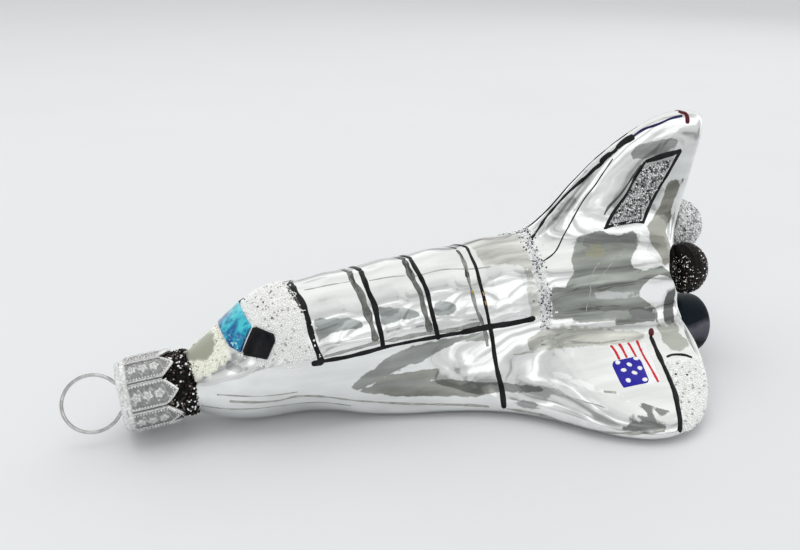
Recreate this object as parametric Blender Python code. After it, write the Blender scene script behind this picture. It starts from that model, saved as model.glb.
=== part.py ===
"""Space-shuttle tree ornament of silvered blown glass, lying on its belly and wing tips.

The glass is one hollow blown body: fuselage, wings, fin and neck.  Engine bells and nozzles,
window panes and coats of glitter are laid on it.  A pressed crown cap sits over the neck, and a
wire hanger stands in two holes of the cap, with its spring legs inside the neck.

Millimetres in the tables, metres in the meshes.  +X runs to the tail, +Z is up, and the origin is
the middle of the footprint, at the height of what the ornament lies on.
"""
import math
from collections import namedtuple

import bmesh
import bpy
from mathutils import Matrix, Vector
from mathutils.bvhtree import BVHTree

MM = 0.001
MIDDLE_X = -5.13            # middle of the whole length, in the tables' x
DIP = 0.015                 # the body's axis dips towards the nose by this slope
DIP_FROM_X = 26.0           # where the wing tips touch down
FLOOR_Z = 0.2               # height of the belly's lowest point in the tables
SEAT = 0.3                  # gap between pieces that touch

# Neck, cap and hanger
NECK_END_X = -57.0
NECK_Z = 8.75               # height of the neck's axis at its end
NECK_DROOP = math.radians(4.2)
CAP_RADIUS = 6.1
CAP_SHEET = 0.5
CAP_LENGTH = 9.4            # end face to petal tip
PETALS = 8
PETAL_POINT = 2.3           # depth of a petal's point
CAP_SHOULDER = 1.0
WIRE_RADIUS = 0.32
LOOP_RADIUS = 4.75          # to the wire's middle
HANGER_TWIST = math.radians(-22)    # the loop's plane, turned about the neck from upright
LEG_SPACING = 4.0
LEG_REACH = 8.0             # straight leg behind the cap's end face
HOLE_RADIUS = 0.45

# Wall of the blown glass, and the coats on it
GLASS_WALL = 1.2
COAT_LIFT = 0.25
COAT_THICK = 0.4
PANE_THICK = 0.4

# Base, and the fin's trailing edge above it
BASE_X = 46.0               # at the height of the fin's foot
FIN_FOOT_Z = 21.0
BASE_SLANT = 0.12           # the base runs forward by this, per millimetre downwards
FIN_RAKE = 0.32             # the fin's trailing edge runs aft by this, per millimetre upwards
BASE_INSET = 0.88           # flat part of the base, as a share of its size
BASE_MIDDLE_Z = 13.0
FIN_HALF = 2.6

# Engines: two low drums, two bulbs on the pods' ends, and one dome under the fin
BELL_RADIUS = 6.2
BELL_LENGTH = 7.5
BELL_Y = 8.1
BELL_Z = 7.9
BULB_RADIUS = 5.0
BULB_LENGTH = 5.1
BULB_Y = 9.2
BULB_Z = 20.1
DOME_RADIUS = 5.4
DOME_LENGTH = 9.1
DOME_Z = 26.4
# Rounded shapes: share of the length, share of the radius
BULB_SHAPE = ((0, 0.92), (0.22, 1), (0.45, 0.96), (0.68, 0.8), (0.86, 0.55), (0.97, 0.25), (1, 0))
DOME_SHAPE = ((0, 0.9), (0.2, 0.98), (0.45, 1), (0.68, 0.88), (0.86, 0.6), (0.97, 0.27), (1, 0))

# Wings
WING_SWEEP = 0.27           # trailing edge runs forward by this, per millimetre of span
SWEEP_FROM_Y = 14.0
WING_END_X = 43.3
ROOT_REACH = 6.4            # the inner trailing edge reaches aft by this, fading out to the tip
UNDER_SHARE = 0.5           # share of the reach on the underside, below UNDER_Z
UNDER_Z = 2.5

# Corners of the painted and glittered areas, before they are laid on the glass; y outwards
WINDSHIELD = ((-38.4, -6.4, 16.5), (-36.1, -4.8, 20.3), (-36.1, 4.8, 20.3), (-38.4, 6.4, 16.5))
SIDE_WINDOW = ((-37.7, 7.1, 16.0), (-34.5, 9.0, 15.8), (-32.8, 7.7, 19.9), (-35.5, 6.0, 20.3))
RUDDER = ((32.4, 0, 28.6), (40.9, 0, 28.2), (48.2, 0, 41.8), (40.2, 0, 40.4))
WING_STRIP = ((39.2, 17.8, 5), (43.0, 17.8, 5), (34.6, 30.4, 5), (31.6, 30.4, 5))

Station = namedtuple("Station", "x half_width bottom top edge_y edge_z edge_thick root_z pod crest")

# Sections of the outer surface.  edge_* is the wing's edge, root_z the crease where the wing meets
# the side, pod the bulge of the aft pods, crest the fin's upper edge; 0 where there is none.
STATIONS = [Station(*row) for row in (
    (-57.0, 4.6, 4.15, 13.35, 0, 0, 0, 0, 0, 0),
    (-56.3, 4.6, 4.2, 13.4, 0, 0, 0, 0, 0, 0),
    (-51.0, 4.6, 4.5, 13.7, 0, 0, 0, 0, 0, 0),
    (-47.4, 4.6, 4.7, 13.9, 0, 0, 0, 0, 0, 0),
    (-46.5, 4.8, 4.5, 14.2, 0, 0, 0, 0, 0, 0),
    (-45.6, 5.6, 3.9, 15.0, 0, 0, 0, 0, 0, 0),
    (-43.3, 6.8, 2.8, 16.5, 0, 0, 0, 0, 0, 0),
    (-40.2, 8.2, 1.6, 18.4, 0, 0, 0, 0, 0, 0),
    (-37.0, 9.4, 0.95, 21.1, 0, 0, 0, 0, 0, 0),
    (-33.8, 10.3, 0.75, 23.8, 0, 0, 0, 0, 0, 0),
    (-30.5, 10.9, 0.8, 24.5, 0, 0, 0, 0, 0, 0),
    (-26.0, 11.4, 0.85, 24.3, 0, 0, 0, 0, 0, 0),
    (-18.0, 11.6, 0.9, 25.1, 11.1, 3.4, 4.4, 13.2, 0, 0),
    (-10.0, 11.7, 1.0, 25.9, 13.0, 2.9, 4.2, 13.6, 0, 0),
    (-2.0, 11.8, 1.0, 26.5, 15.4, 2.7, 4.0, 14.0, 0, 0),
    (5.0, 11.9, 1.1, 26.8, 18.1, 2.6, 4.0, 14.2, 0, 0),
    (10.0, 12.0, 1.2, 27.1, 21.8, 2.5, 4.0, 14.3, 0.2, 0),
    (14.5, 12.2, 1.2, 27.3, 26.9, 2.3, 4.0, 14.2, 0.8, 0),
    (17.5, 12.4, 1.2, 27.5, 30.2, 2.1, 4.0, 13.8, 1.2, 28.8),
    (21.0, 12.5, 1.2, 27.5, 33.0, 1.8, 4.1, 13.3, 1.3, 31.9),
    (25.5, 12.5, 1.3, 27.4, 34.9, 1.6, 4.2, 12.7, 1.4, 36.8),
    (30.5, 12.5, 1.3, 27.2, 35.8, 1.5, 4.2, 12.0, 1.4, 41.4),
    (36.0, 12.5, 1.4, 26.9, 35.4, 1.6, 4.0, 11.2, 1.4, 45.4),
    (40.6, 12.4, 1.6, 26.5, 33.6, 2.0, 3.8, 10.6, 1.2, 47.8),
    (43.3, 12.3, 1.7, 26.1, 29.8, 3.0, 3.4, 10.8, 1.1, 49.0),
    (44.1, 12.2, 1.8, 25.9, 15.6, 7.0, 8.0, 13.4, 1.0, 49.5),
    (45.1, 12.0, 2.0, 25.5, 15.4, 7.0, 8.4, 13.8, 0.8, 49.6),
    (45.8, 11.6, 2.3, 25.0, 14.9, 7.0, 8.2, 13.6, 0.5, 48.8),
    (46.0, 11.0, 2.7, 24.4, 14.2, 7.0, 7.6, 13.2, 0.3, 47.4),
)]

# Angles of the points of half a section, from the belly to the crest
SECTION_ANGLES = [math.radians(a) for a in (-90, -66, -46, -34, -22, -8, 8, 26, 44, 60, 76, 90)]
LOWER_SQUARENESS = (2.0, 2.5)   # power of the lower half's curve, at the nose and from mid-body

# Stations along the hollow inside
BORE_X = (-56.6, -47.0, -43.0, -37.0, -26.0, 0.0, 28.0, 40.0, 42.0)


def smooth_step(value, low, high):
    t = min(max((value - low) / (high - low), 0.0), 1.0)
    return t * t * (3 - 2 * t)


def at(x, y, z):
    """Table millimetres to metres in the part's frame."""
    return Vector((x - MIDDLE_X, y, z - FLOOR_Z - DIP * (DIP_FROM_X - x))) * MM


def aft_slope(z):
    return FIN_RAKE if z > FIN_FOOT_Z else BASE_SLANT


def base_x(z):
    """The x of the slanted base, and above it of the fin's trailing edge, at a height."""
    return BASE_X + aft_slope(z) * (z - FIN_FOOT_Z)


def round_section(x, half_width, bottom, top):
    """Points (y, z) of half a body section, belly to crown, with a squarer lower half."""
    centre = bottom + 0.48 * (top - bottom)
    nose, body = LOWER_SQUARENESS
    squareness = nose + (body - nose) * smooth_step(x, -32.0, -6.0)
    points = []
    for angle in SECTION_ANGLES:
        c, s = math.cos(angle), math.sin(angle)
        power = 2 / squareness if s < 0 else 1.0
        reach = (top - centre) if s > 0 else (centre - bottom)
        y = half_width * abs(c) ** power
        z = centre + math.copysign(reach * abs(s) ** power, s)
        points.append([y, z])
    return points


def aft_shift(x, y, z):
    """How far a point of the section at x lies aft of it: the wings' sweep, and the slanted base."""
    if x > WING_END_X:
        return (base_x(z) - BASE_X) * (x - WING_END_X) / (BASE_X - WING_END_X)
    if y <= SWEEP_FROM_Y:
        return 0.0
    sweep = WING_SWEEP * (y - SWEEP_FROM_Y) * smooth_step(x, 17.0, WING_END_X)
    reach = ROOT_REACH * (UNDER_SHARE if z < UNDER_Z else 1.0)
    return reach * smooth_step(x, 38.0, WING_END_X) * (1 - smooth_step(y, 20.0, 33.0)) - sweep


def half_section(s):
    """Points (x, y, z) of half a section at station s, port side given with positive y."""
    points = round_section(s.x, s.half_width, s.bottom, s.top)
    if s.edge_y:
        belly, root = points[1], [s.half_width * 0.97, s.root_z]
        low, high = s.edge_z - s.edge_thick / 2, s.edge_z + s.edge_thick / 2
        points[2] = [(belly[0] + s.edge_y) / 2, (belly[1] + low) / 2]
        points[3] = [s.edge_y - 0.2 * s.edge_thick, low]
        points[4] = [s.edge_y, high]
        points[5] = [root[0] * 0.55 + s.edge_y * 0.45, root[1] * 0.5 + high * 0.5]
        points[6] = root
    if s.pod:
        points[7] = [points[7][0] + 0.7 * s.pod, points[7][1]]
        points[8] = [points[8][0] + 1.1 * s.pod, points[8][1] + 0.5 * s.pod]
        points[9] = [points[9][0] + 0.4 * s.pod, points[9][1] + 0.4 * s.pod]
    if s.crest:
        points[9] = [FIN_HALF + 1.1, s.top - 0.6]
        points[10] = [FIN_HALF, max(s.crest - 2.2, s.top - 0.4)]
        points[11] = [0.0, s.crest]
    return [(s.x + aft_shift(s.x, y, z), y, z) for y, z in points]


def full_ring(half):
    """Both sides of a half section as one loop of points: port from belly to crest, then starboard."""
    port = [at(x, -y, z) for x, y, z in half]
    starboard = [at(x, y, z) for x, y, z in half[-2:0:-1]]
    return port + starboard


def bridge(bm, ring_a, ring_b):
    count = len(ring_a)
    for i in range(count):
        j = (i + 1) % count
        bm.faces.new((ring_a[i], ring_a[j], ring_b[j], ring_b[i]))


def close_across(bm, ring):
    """Close a section's loop with strips from port to starboard."""
    crest = len(ring) // 2
    port, starboard = ring[1:crest], ring[:crest:-1]
    bm.faces.new((ring[0], port[0], starboard[0]))
    for i in range(len(port) - 1):
        bm.faces.new((port[i], port[i + 1], starboard[i + 1], starboard[i]))
    bm.faces.new((port[-1], ring[crest], starboard[-1]))


def inset_base(half):
    """The base's inner loop: the last section drawn in on the same plane, fin and body apart."""
    drawn = []
    fin_insets = {9: (0.5, 1.2), 10: (0.5, 0.6), 11: (1.0, 1.3)}
    for index, (x, y, z) in enumerate(half):
        if index in fin_insets:
            narrower, lower = fin_insets[index]
            y, z = y * narrower, z - lower
        else:
            y, z = y * BASE_INSET, BASE_MIDDLE_Z + (z - BASE_MIDDLE_Z) * BASE_INSET
        drawn.append((base_x(z), y, z))
    return drawn


def bore_section(x):
    """The inner wall's section: the body's round, without wing, pod or fin, one wall thickness in."""
    for before, after in zip(STATIONS, STATIONS[1:]):
        if before.x <= x <= after.x:
            break
    t = (x - before.x) / (after.x - before.x)
    half_width, bottom, top = (a + (b - a) * t for a, b in zip(before[1:4], after[1:4]))
    section = round_section(x, half_width - GLASS_WALL, bottom + GLASS_WALL, top - GLASS_WALL)
    return [(x, y, z) for y, z in section]


# Making objects

def material(name, colour, roughness, metallic=0.0):
    m = bpy.data.materials.new(name)
    m.use_nodes = True
    shader = m.node_tree.nodes["Principled BSDF"]
    shader.inputs["Base Color"].default_value = (*colour, 1.0)
    shader.inputs["Roughness"].default_value = roughness
    shader.inputs["Metallic"].default_value = metallic
    m.diffuse_color = (*colour, 1.0)
    return m


def finish_object(bm, name, look, smooth_angle=40):
    bmesh.ops.recalc_face_normals(bm, faces=bm.faces)
    mesh = bpy.data.meshes.new(name)
    bm.to_mesh(mesh)
    bm.free()
    mesh.shade_smooth()
    mesh.set_sharp_from_angle(angle=math.radians(smooth_angle))
    obj = bpy.data.objects.new(name, mesh)
    obj.data.materials.append(look)
    bpy.context.scene.collection.objects.link(obj)
    return obj


def add_subdivision(obj, levels):
    modifier = obj.modifiers.new("Subdivision", "SUBSURF")
    modifier.levels = levels
    modifier.render_levels = levels
    return modifier


def turned(name, profile, placement, look, segments=28):
    """A closed profile (along, radius) turned about the X axis, then placed. Radius 0 is a pole."""
    bm = bmesh.new()
    rings = []
    for along, radius in profile:
        if radius == 0:
            rings.append([bm.verts.new(placement @ Vector((along * MM, 0, 0)))])
            continue
        ring = []
        for i in range(segments):
            a = 2 * math.pi * i / segments
            offset = Vector((along, radius * math.cos(a), radius * math.sin(a))) * MM
            ring.append(bm.verts.new(placement @ offset))
        rings.append(ring)
    closed = profile[0][1] != 0
    pairs = list(zip(rings, rings[1:])) + ([(rings[-1], rings[0])] if closed else [])
    for a, b in pairs:
        for i in range(segments):
            j = (i + 1) % segments
            if len(a) == 1:
                bm.faces.new((a[0], b[i], b[j]))
            elif len(b) == 1:
                bm.faces.new((a[i], a[j], b[0]))
            else:
                bm.faces.new((a[i], a[j], b[j], b[i]))
    return finish_object(bm, name, look)


# The pieces

def make_glass(look):
    bm = bmesh.new()
    halves = [half_section(s) for s in STATIONS]
    rings = [[bm.verts.new(p) for p in full_ring(half)] for half in halves]
    for a, b in zip(rings, rings[1:]):
        bridge(bm, a, b)
    base = [bm.verts.new(p) for p in full_ring(inset_base(halves[-1]))]
    bridge(bm, rings[-1], base)
    close_across(bm, base)
    bore = [[bm.verts.new(p) for p in full_ring(bore_section(x))] for x in BORE_X]
    rim_half = [(NECK_END_X, y, z) for _, y, z in bore_section(NECK_END_X)]
    rim = [bm.verts.new(p) for p in full_ring(rim_half)]
    bridge(bm, rim, rings[0])
    for a, b in zip([rim] + bore, bore):
        bridge(bm, a, b)
    close_across(bm, bore[-1])
    obj = finish_object(bm, "glass_body", look, smooth_angle=80)
    add_subdivision(obj, 1)
    return obj


def glass_surface(obj):
    """The glass's evaluated surface, for laying coats on."""
    bpy.context.view_layer.update()
    depsgraph = bpy.context.evaluated_depsgraph_get()
    return BVHTree.FromObject(obj, depsgraph)


def coat(name, surface, ray, columns, rows, look, thick=COAT_THICK):
    """A thin closed skin over the glass. ray(u, v) gives where to look from and which way, in mm."""
    bm = bmesh.new()
    under, over = [], []
    for r in range(rows + 1):
        under.append([])
        over.append([])
        for c in range(columns + 1):
            start, direction = ray(c / columns, r / rows)
            hit, normal, _, _ = surface.ray_cast(start, direction.normalized())
            under[r].append(bm.verts.new(hit + normal * COAT_LIFT * MM))
            over[r].append(bm.verts.new(hit + normal * (COAT_LIFT + thick) * MM))
    for layer in (under, over):
        for r in range(rows):
            for c in range(columns):
                bm.faces.new((layer[r][c], layer[r][c + 1], layer[r + 1][c + 1], layer[r + 1][c]))
    border = [(0, c) for c in range(columns)] + [(r, columns) for r in range(rows)]
    border += [(rows, c) for c in range(columns, 0, -1)] + [(r, 0) for r in range(rows, 0, -1)]
    for (r0, c0), (r1, c1) in zip(border, border[1:] + border[:1]):
        bm.faces.new((under[r0][c0], under[r1][c1], over[r1][c1], over[r0][c0]))
    return finish_object(bm, name, look)


def across(corners, direction, distance=80.0):
    """Rays over a four-cornered area: corners run (u0 v0), (u1 v0), (u1 v1), (u0 v1)."""
    a, b, c, d = (at(*corner) for corner in corners)
    towards = Vector(direction).normalized()

    def ray(u, v):
        point = (a * (1 - u) + b * u) * (1 - v) + (d * (1 - u) + c * u) * v
        return point - towards * distance * MM, towards

    return ray


def around(x_start, x_end, low_angle, high_angle, centre_z=12.5, distance=60.0):
    """Rays towards the body's axis; angles from port level (0) over the top (90) to starboard (180)."""
    def ray(u, v):
        angle = math.radians(low_angle + (high_angle - low_angle) * u)
        outward = Vector((0, -math.cos(angle), math.sin(angle)))
        centre = at(x_start + (x_end - x_start) * v, 0, centre_z)
        return centre + outward * distance * MM, -outward

    return ray


def side_name(side):
    return "port" if side < 0 else "starboard"


def on_side(corners, side):
    return [(x, side * y, z) for x, y, z in corners]


def make_coats(surface, looks):
    white, silver = looks["white glitter"], looks["silver glitter"]
    coat("cockpit_glitter", surface, around(-32.0, -27.0, 14, 166), 16, 3, white)
    coat("waist_glitter_band", surface, around(15.2, 16.8, 12, 168), 16, 1, silver)
    windshield = across(WINDSHIELD, (0.66, 0, -0.75))
    coat("windshield_pane", surface, windshield, 4, 6, looks["blue pane"], PANE_THICK)
    for side in (-1, 1):
        name = side_name(side)
        window = across(on_side(SIDE_WINDOW, side), (0.4, -side * 0.75, -0.53))
        coat("side_window_" + name, surface, window, 4, 4, looks["black pane"], PANE_THICK)
        rudder = across(RUDDER, (0, -side, 0))
        coat("rudder_glitter_" + name, surface, rudder, 4, 6, silver)
        strip = across(on_side(WING_STRIP, side), (0, 0, -1))
        coat("wing_glitter_" + name, surface, strip, 5, 12, white)


def neck_frame():
    """The neck's own frame: origin in the middle of its end, +X towards the tail along the neck."""
    return Matrix.Translation(at(NECK_END_X, 0, NECK_Z)) @ Matrix.Rotation(-NECK_DROOP, 4, "Y")


def make_neck_glitter(look):
    profile = ((6.2, 4.85), (6.2, 5.2), (8.0, 5.3), (9.6, 5.55), (10.6, 5.5), (10.6, 5.15), (9.6, 4.9))
    return turned("neck_glitter", profile, neck_frame(), look, segments=32)


def cap_radius_at(along):
    """The cap's outer radius: a rounded shoulder at the end face, then nearly straight."""
    if along >= CAP_SHOULDER:
        return CAP_RADIUS
    drop = CAP_SHOULDER - along
    return CAP_RADIUS - CAP_SHOULDER + math.sqrt(max(CAP_SHOULDER ** 2 - drop ** 2, 0))


def make_cap(look):
    """Pressed crown: end disc, shoulder and a wall that ends in pointed petals, of one thickness."""
    steps = PETALS * 4
    end = -SEAT - CAP_SHEET
    frame = neck_frame()
    twist = Matrix.Rotation(HANGER_TWIST, 4, "X")
    bm = bmesh.new()

    def ring(along, radius, wave):
        loop = []
        for i in range(steps):
            a = 2 * math.pi * i / steps
            point = abs((i % 4) / 2 - 1)
            x = end + along - wave * PETAL_POINT * point
            loop.append(bm.verts.new(frame @ (Vector((x, radius * math.cos(a), radius * math.sin(a))) * MM)))
        return loop

    outer_along = (0.0, 0.3, CAP_SHOULDER, CAP_LENGTH * 0.55)
    outer = [ring(a, cap_radius_at(a), 0) for a in outer_along] + [ring(CAP_LENGTH, CAP_RADIUS, 1)]
    inner_wall = CAP_RADIUS - CAP_SHEET
    inner = [ring(CAP_LENGTH, inner_wall, 1), ring(CAP_LENGTH * 0.55, inner_wall, 0)]
    inner += [ring(CAP_SHOULDER, inner_wall, 0), ring(CAP_SHEET, cap_radius_at(0.3) - 0.3, 0)]
    loops = outer + inner
    for a, b in zip(loops, loops[1:]):
        bridge(bm, a, b)
    bm.faces.new(outer[0])
    bm.faces.new(inner[-1])
    cap = finish_object(bm, "cap_crown", look)
    for side in (-1, 1):
        bpy.ops.mesh.primitive_cylinder_add(vertices=12, radius=HOLE_RADIUS * MM, depth=4 * MM)
        cutter = bpy.context.object
        cutter.name = f"cap_hole_cutter_{'low' if side < 0 else 'high'}"
        hole = Vector((end * MM, 0, side * LEG_SPACING / 2 * MM))
        cutter.matrix_world = frame @ twist @ Matrix.Translation(hole) @ Matrix.Rotation(math.pi / 2, 4, "Y")
        cutter.hide_render = True
        cutter.display_type = "WIRE"
        cut = cap.modifiers.new("Wire hole", "BOOLEAN")
        cut.operation = "DIFFERENCE"
        cut.object = cutter
    return cap


def make_hanger(look):
    """The wire: a leg in the neck, out through the cap, round the loop and back down the other leg."""
    end = -SEAT - CAP_SHEET
    half = LEG_SPACING / 2
    opening = math.asin(half / LOOP_RADIUS)
    loop_centre = end - LOOP_RADIUS * math.cos(opening)
    path = [(end + LEG_REACH, half), (end + LEG_REACH * 0.5, half)]
    turns = 32
    for i in range(turns + 1):
        a = opening + (2 * math.pi - 2 * opening) * i / turns
        path.append((loop_centre + LOOP_RADIUS * math.cos(a), LOOP_RADIUS * math.sin(a)))
    path += [(end + LEG_REACH * 0.5, -half), (end + LEG_REACH, -half)]
    curve = bpy.data.curves.new("hanger_loop", "CURVE")
    curve.dimensions = "3D"
    curve.bevel_depth = WIRE_RADIUS * MM
    curve.bevel_resolution = 2
    curve.use_fill_caps = True
    spline = curve.splines.new("POLY")
    spline.points.add(len(path) - 1)
    frame = neck_frame() @ Matrix.Rotation(HANGER_TWIST, 4, "X")
    for point, (along, up) in zip(spline.points, path):
        point.co = (*(frame @ (Vector((along, 0, up)) * MM)), 1)
    obj = bpy.data.objects.new("hanger_loop", curve)
    curve.materials.append(look)
    bpy.context.scene.collection.objects.link(obj)
    return obj


def on_base(y, z):
    """A frame on the slanted base at (y, z), its +X out of the base."""
    turn = Matrix.Rotation(math.atan(aft_slope(z)), 4, "Y")
    return Matrix.Translation(at(base_x(z), y, z)) @ turn @ Matrix.Translation((SEAT * MM, 0, 0))


def rounded(shape, radius, length):
    """A closed profile for turned(): a flat foot, then the shape's shares of length and radius."""
    return [(0, 0)] + [(along * length, out * radius) for along, out in shape]


def make_engines(looks):
    drum = ((0, 0), (0, BELL_RADIUS - 0.5), (0.6, BELL_RADIUS - 0.15), (BELL_LENGTH - 0.5, BELL_RADIUS),
            (BELL_LENGTH, BELL_RADIUS - 0.5), (BELL_LENGTH - 0.3, BELL_RADIUS - 1.4),
            (BELL_LENGTH - 1.1, BELL_RADIUS * 0.4), (BELL_LENGTH - 1.3, 0))
    bulb = rounded(BULB_SHAPE, BULB_RADIUS, BULB_LENGTH)
    dome = rounded(DOME_SHAPE, DOME_RADIUS, DOME_LENGTH)
    for side in (-1, 1):
        name = side_name(side)
        turned("engine_bell_" + name, drum, on_base(side * BELL_Y, BELL_Z), looks["black enamel"])
        turned("pod_nozzle_" + name, bulb, on_base(side * BULB_Y, BULB_Z), looks["black glitter"])
    turned("engine_dome_top", dome, on_base(0, DOME_Z), looks["silver glitter"])


def main():
    for obj in list(bpy.data.objects):
        bpy.data.objects.remove(obj)
    looks = {
        "mirror glass": material("silvered_glass", (0.86, 0.87, 0.85), 0.04, 1.0),
        "foil": material("cap_foil", (0.80, 0.80, 0.80), 0.22, 1.0),
        "wire": material("hanger_wire", (0.72, 0.72, 0.70), 0.2, 1.0),
        "black glitter": material("black_glitter", (0.02, 0.018, 0.02), 0.5),
        "white glitter": material("white_glitter", (0.88, 0.88, 0.86), 0.5),
        "silver glitter": material("silver_glitter", (0.62, 0.63, 0.65), 0.35, 0.6),
        "black enamel": material("black_enamel", (0.015, 0.016, 0.02), 0.18),
        "black pane": material("black_pane", (0.008, 0.008, 0.01), 0.08),
        "blue pane": material("blue_pane", (0.02, 0.30, 0.62), 0.08),
    }
    glass = make_glass(looks["mirror glass"])
    make_coats(glass_surface(glass), looks)
    make_neck_glitter(looks["black glitter"])
    make_cap(looks["foil"])
    make_hanger(looks["wire"])
    make_engines(looks)


main()
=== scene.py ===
"""Looks of a silvered blown-glass tree ornament in the shape of a space shuttle.

Mirror glass with brushed enamel lines, coats of glitter, painted windows and a small painted flag,
black engine drums, a pressed crown cap and a wire loop.  Places in the tables are millimetres in
the same system as the solids' tables: x to the tail, y to starboard, z up from the belly.
"""
import math

import bmesh
import bpy
from bpy.props import FloatProperty, FloatVectorProperty, IntProperty, PointerProperty
from mathutils import Matrix, Vector, noise
from mathutils.bvhtree import BVHTree


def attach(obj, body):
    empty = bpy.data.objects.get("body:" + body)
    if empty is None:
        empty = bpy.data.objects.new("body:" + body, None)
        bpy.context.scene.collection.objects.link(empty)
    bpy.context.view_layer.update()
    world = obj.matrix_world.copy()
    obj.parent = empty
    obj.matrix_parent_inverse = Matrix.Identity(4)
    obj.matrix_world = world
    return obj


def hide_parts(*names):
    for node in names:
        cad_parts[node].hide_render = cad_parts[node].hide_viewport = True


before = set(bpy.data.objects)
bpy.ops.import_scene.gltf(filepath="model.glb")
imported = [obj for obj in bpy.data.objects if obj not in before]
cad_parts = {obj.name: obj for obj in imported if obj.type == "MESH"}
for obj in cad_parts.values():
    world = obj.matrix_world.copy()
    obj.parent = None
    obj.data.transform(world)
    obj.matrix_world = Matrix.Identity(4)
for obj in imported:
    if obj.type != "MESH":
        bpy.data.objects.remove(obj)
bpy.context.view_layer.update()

bl_info = {
    "name": "Blown-glass shuttle ornament",
    "version": (1, 0, 0),
    "blender": (4, 5, 0),
    "location": "3D View > Sidebar > Ornament",
    "description": "Builds the looks of a silvered glass ornament round its packed solids",
    "category": "Object",
}

MM = 0.001
# From the tables to the frame: middle of the footprint, how the nose dips as it lies, and its lowest place
MIDDLE_X = -5.13
DIP = 0.015
DIP_FROM_X = 26.0
FLOOR_Z = 0.2
SIDES = (-1, 1)     # port, starboard

# Neck and cap, as in the solids
NECK_END_X = -57.0
NECK_Z = 8.75
NECK_DROOP = math.radians(4.2)
CAP_END = -0.8
CAP_RADIUS = 6.1
CAP_SHEET = 0.5
CAP_LENGTH = 9.4
CAP_SHOULDER = 1.0
PETALS = 8
PETAL_POINT = 2.3
HANGER_TWIST = math.radians(-22)
LEG_SPACING = 4.0
HOLE_RADIUS = 0.45

# Painted hoops round the upper body, from the crest down the port side
HOOPS = (
    ((-27.9, 0.0, 24.3), (-28.0, -2.3, 24.0), (-27.4, -4.7, 23.1), (-27.3, -6.9, 21.6), (-27.1, -8.6, 19.7),
     (-26.7, -10.0, 17.3), (-26.0, -10.8, 14.5)),
    ((-15.6, 0.0, 25.1), (-15.9, -2.0, 25.0), (-16.0, -5.7, 23.5), (-15.8, -7.5, 22.0), (-15.7, -9.4, 19.7),
     (-15.4, -10.4, 17.6), (-15.3, -10.8, 15.4)),
    ((-6.2, 0.0, 26.1), (-6.5, -2.9, 25.6), (-6.3, -5.2, 24.6), (-6.1, -7.4, 23.0), (-6.1, -9.2, 20.8),
     (-5.8, -10.4, 18.4), (-5.3, -11.2, 15.1)),
    ((4.9, 0.0, 26.7), (4.4, -2.7, 26.3), (4.1, -5.9, 24.8), (3.8, -8.0, 23.0), (3.9, -9.4, 21.3), (4.1, -10.5, 19.0),
     (4.5, -11.3, 16.0)),
)
HOOP_ON_WING = ((4.5, -11.3, 16.0), (4.8, -12.3, 13.5), (4.7, -13.6, 11.1), (4.6, -15.2, 8.6), (4.7, -16.9, 6.1),
                (4.9, -17.8, 2.9))
# Painted reflections of the hoops in the silvering: grey copies beside the black lines
HOOP_REFLECTIONS = (
    ((-28.6, 0.0, 24.2), (-28.8, -2.3, 23.9), (-28.1, -4.7, 23.0), (-27.9, -6.4, 21.9)),
    ((-17.5, 0.0, 25.0), (-18.0, -2.4, 24.7), (-17.5, -5.3, 23.6), (-17.4, -7.5, 21.9), (-17.0, -9.2, 19.8),
     (-16.5, -10.6, 16.6)),
    ((-7.4, 0.0, 26.0), (-7.8, -2.4, 25.6), (-7.8, -5.5, 24.3), (-7.4, -7.5, 22.8), (-7.4, -9.2, 20.8),
     (-7.1, -10.3, 18.6), (-6.6, -10.9, 16.4)),
    ((2.8, -0.3, 26.6), (2.4, -4.3, 25.6), (1.9, -7.0, 23.9), (1.8, -8.8, 21.9), (2.2, -10.3, 19.2),
     (3.1, -11.1, 16.7), (3.6, -11.7, 14.8), (3.7, -12.5, 12.7)),
)
HOOP_X = (-27.2, -15.7, -6.1, 4.1)
SILL = ((-27.7, -10.7, 14.6), (-25.6, -10.8, 14.7), (-21.7, -10.9, 14.8), (-18.2, -10.9, 15.0), (-15.4, -10.9, 15.3),
        (-12.6, -10.9, 15.5), (-9.8, -11.0, 15.6), (-5.3, -11.1, 15.6), (-1.2, -11.3, 15.7), (4.0, -11.4, 15.9),
        (7.6, -11.5, 15.9), (10.5, -11.7, 16.1), (13.2, -11.9, 16.4))
# Painted reflection of the sill line
SILL_REFLECTION = ((-25.5, -10.7, 15.5), (-21.4, -10.7, 15.9), (-17.0, -10.6, 16.3), (-14.2, -10.7, 16.4),
             (-9.8, -10.7, 16.6), (-4.7, -11.0, 16.4), (0.2, -11.0, 16.6), (2.7, -11.1, 16.8))
FIN_LINE = ((17.1, -2.2, 27.7), (19.4, -1.1, 29.6), (21.4, -0.6, 31.6), (23.8, -0.6, 34.1), (26.2, -0.9, 36.2),
            (28.3, -1.2, 38.0), (29.8, -1.2, 39.3), (31.3, -1.3, 40.3), (32.4, -1.0, 41.4), (33.9, -1.2, 42.3),
            (35.3, -1.0, 43.4), (38.1, -1.2, 45.0))
FIN_BLOTS = (((31.1, -1.1, 40.4), (32.3, -1.0, 41.4), (33.4, -1.1, 42.0)), ((34.4, -1.1, 42.8), (35.8, -0.9, 43.8),
             (37.9, -1.1, 44.9)))
FIN_TIP_LINE = ((37.6, -1.2, 44.8), (39.9, -1.1, 45.9), (42.8, -1.4, 46.7), (45.9, -1.3, 47.6), (48.4, -1.3, 47.9))
FIN_HOOK = ((48.0, -0.5, 48.6), (49.3, -0.9, 48.3), (49.6, -1.3, 47.5), (49.5, -1.7, 46.3))
FIN_INNER_LINE = ((16.4, -7.5, 25.0), (19.8, -6.1, 25.9), (23.0, -3.9, 28.3), (25.1, -3.1, 30.9), (27.2, -2.7, 33.9),
                  (29.6, -2.4, 36.5), (31.7, -2.0, 39.0), (33.4, -1.7, 41.0))
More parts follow.
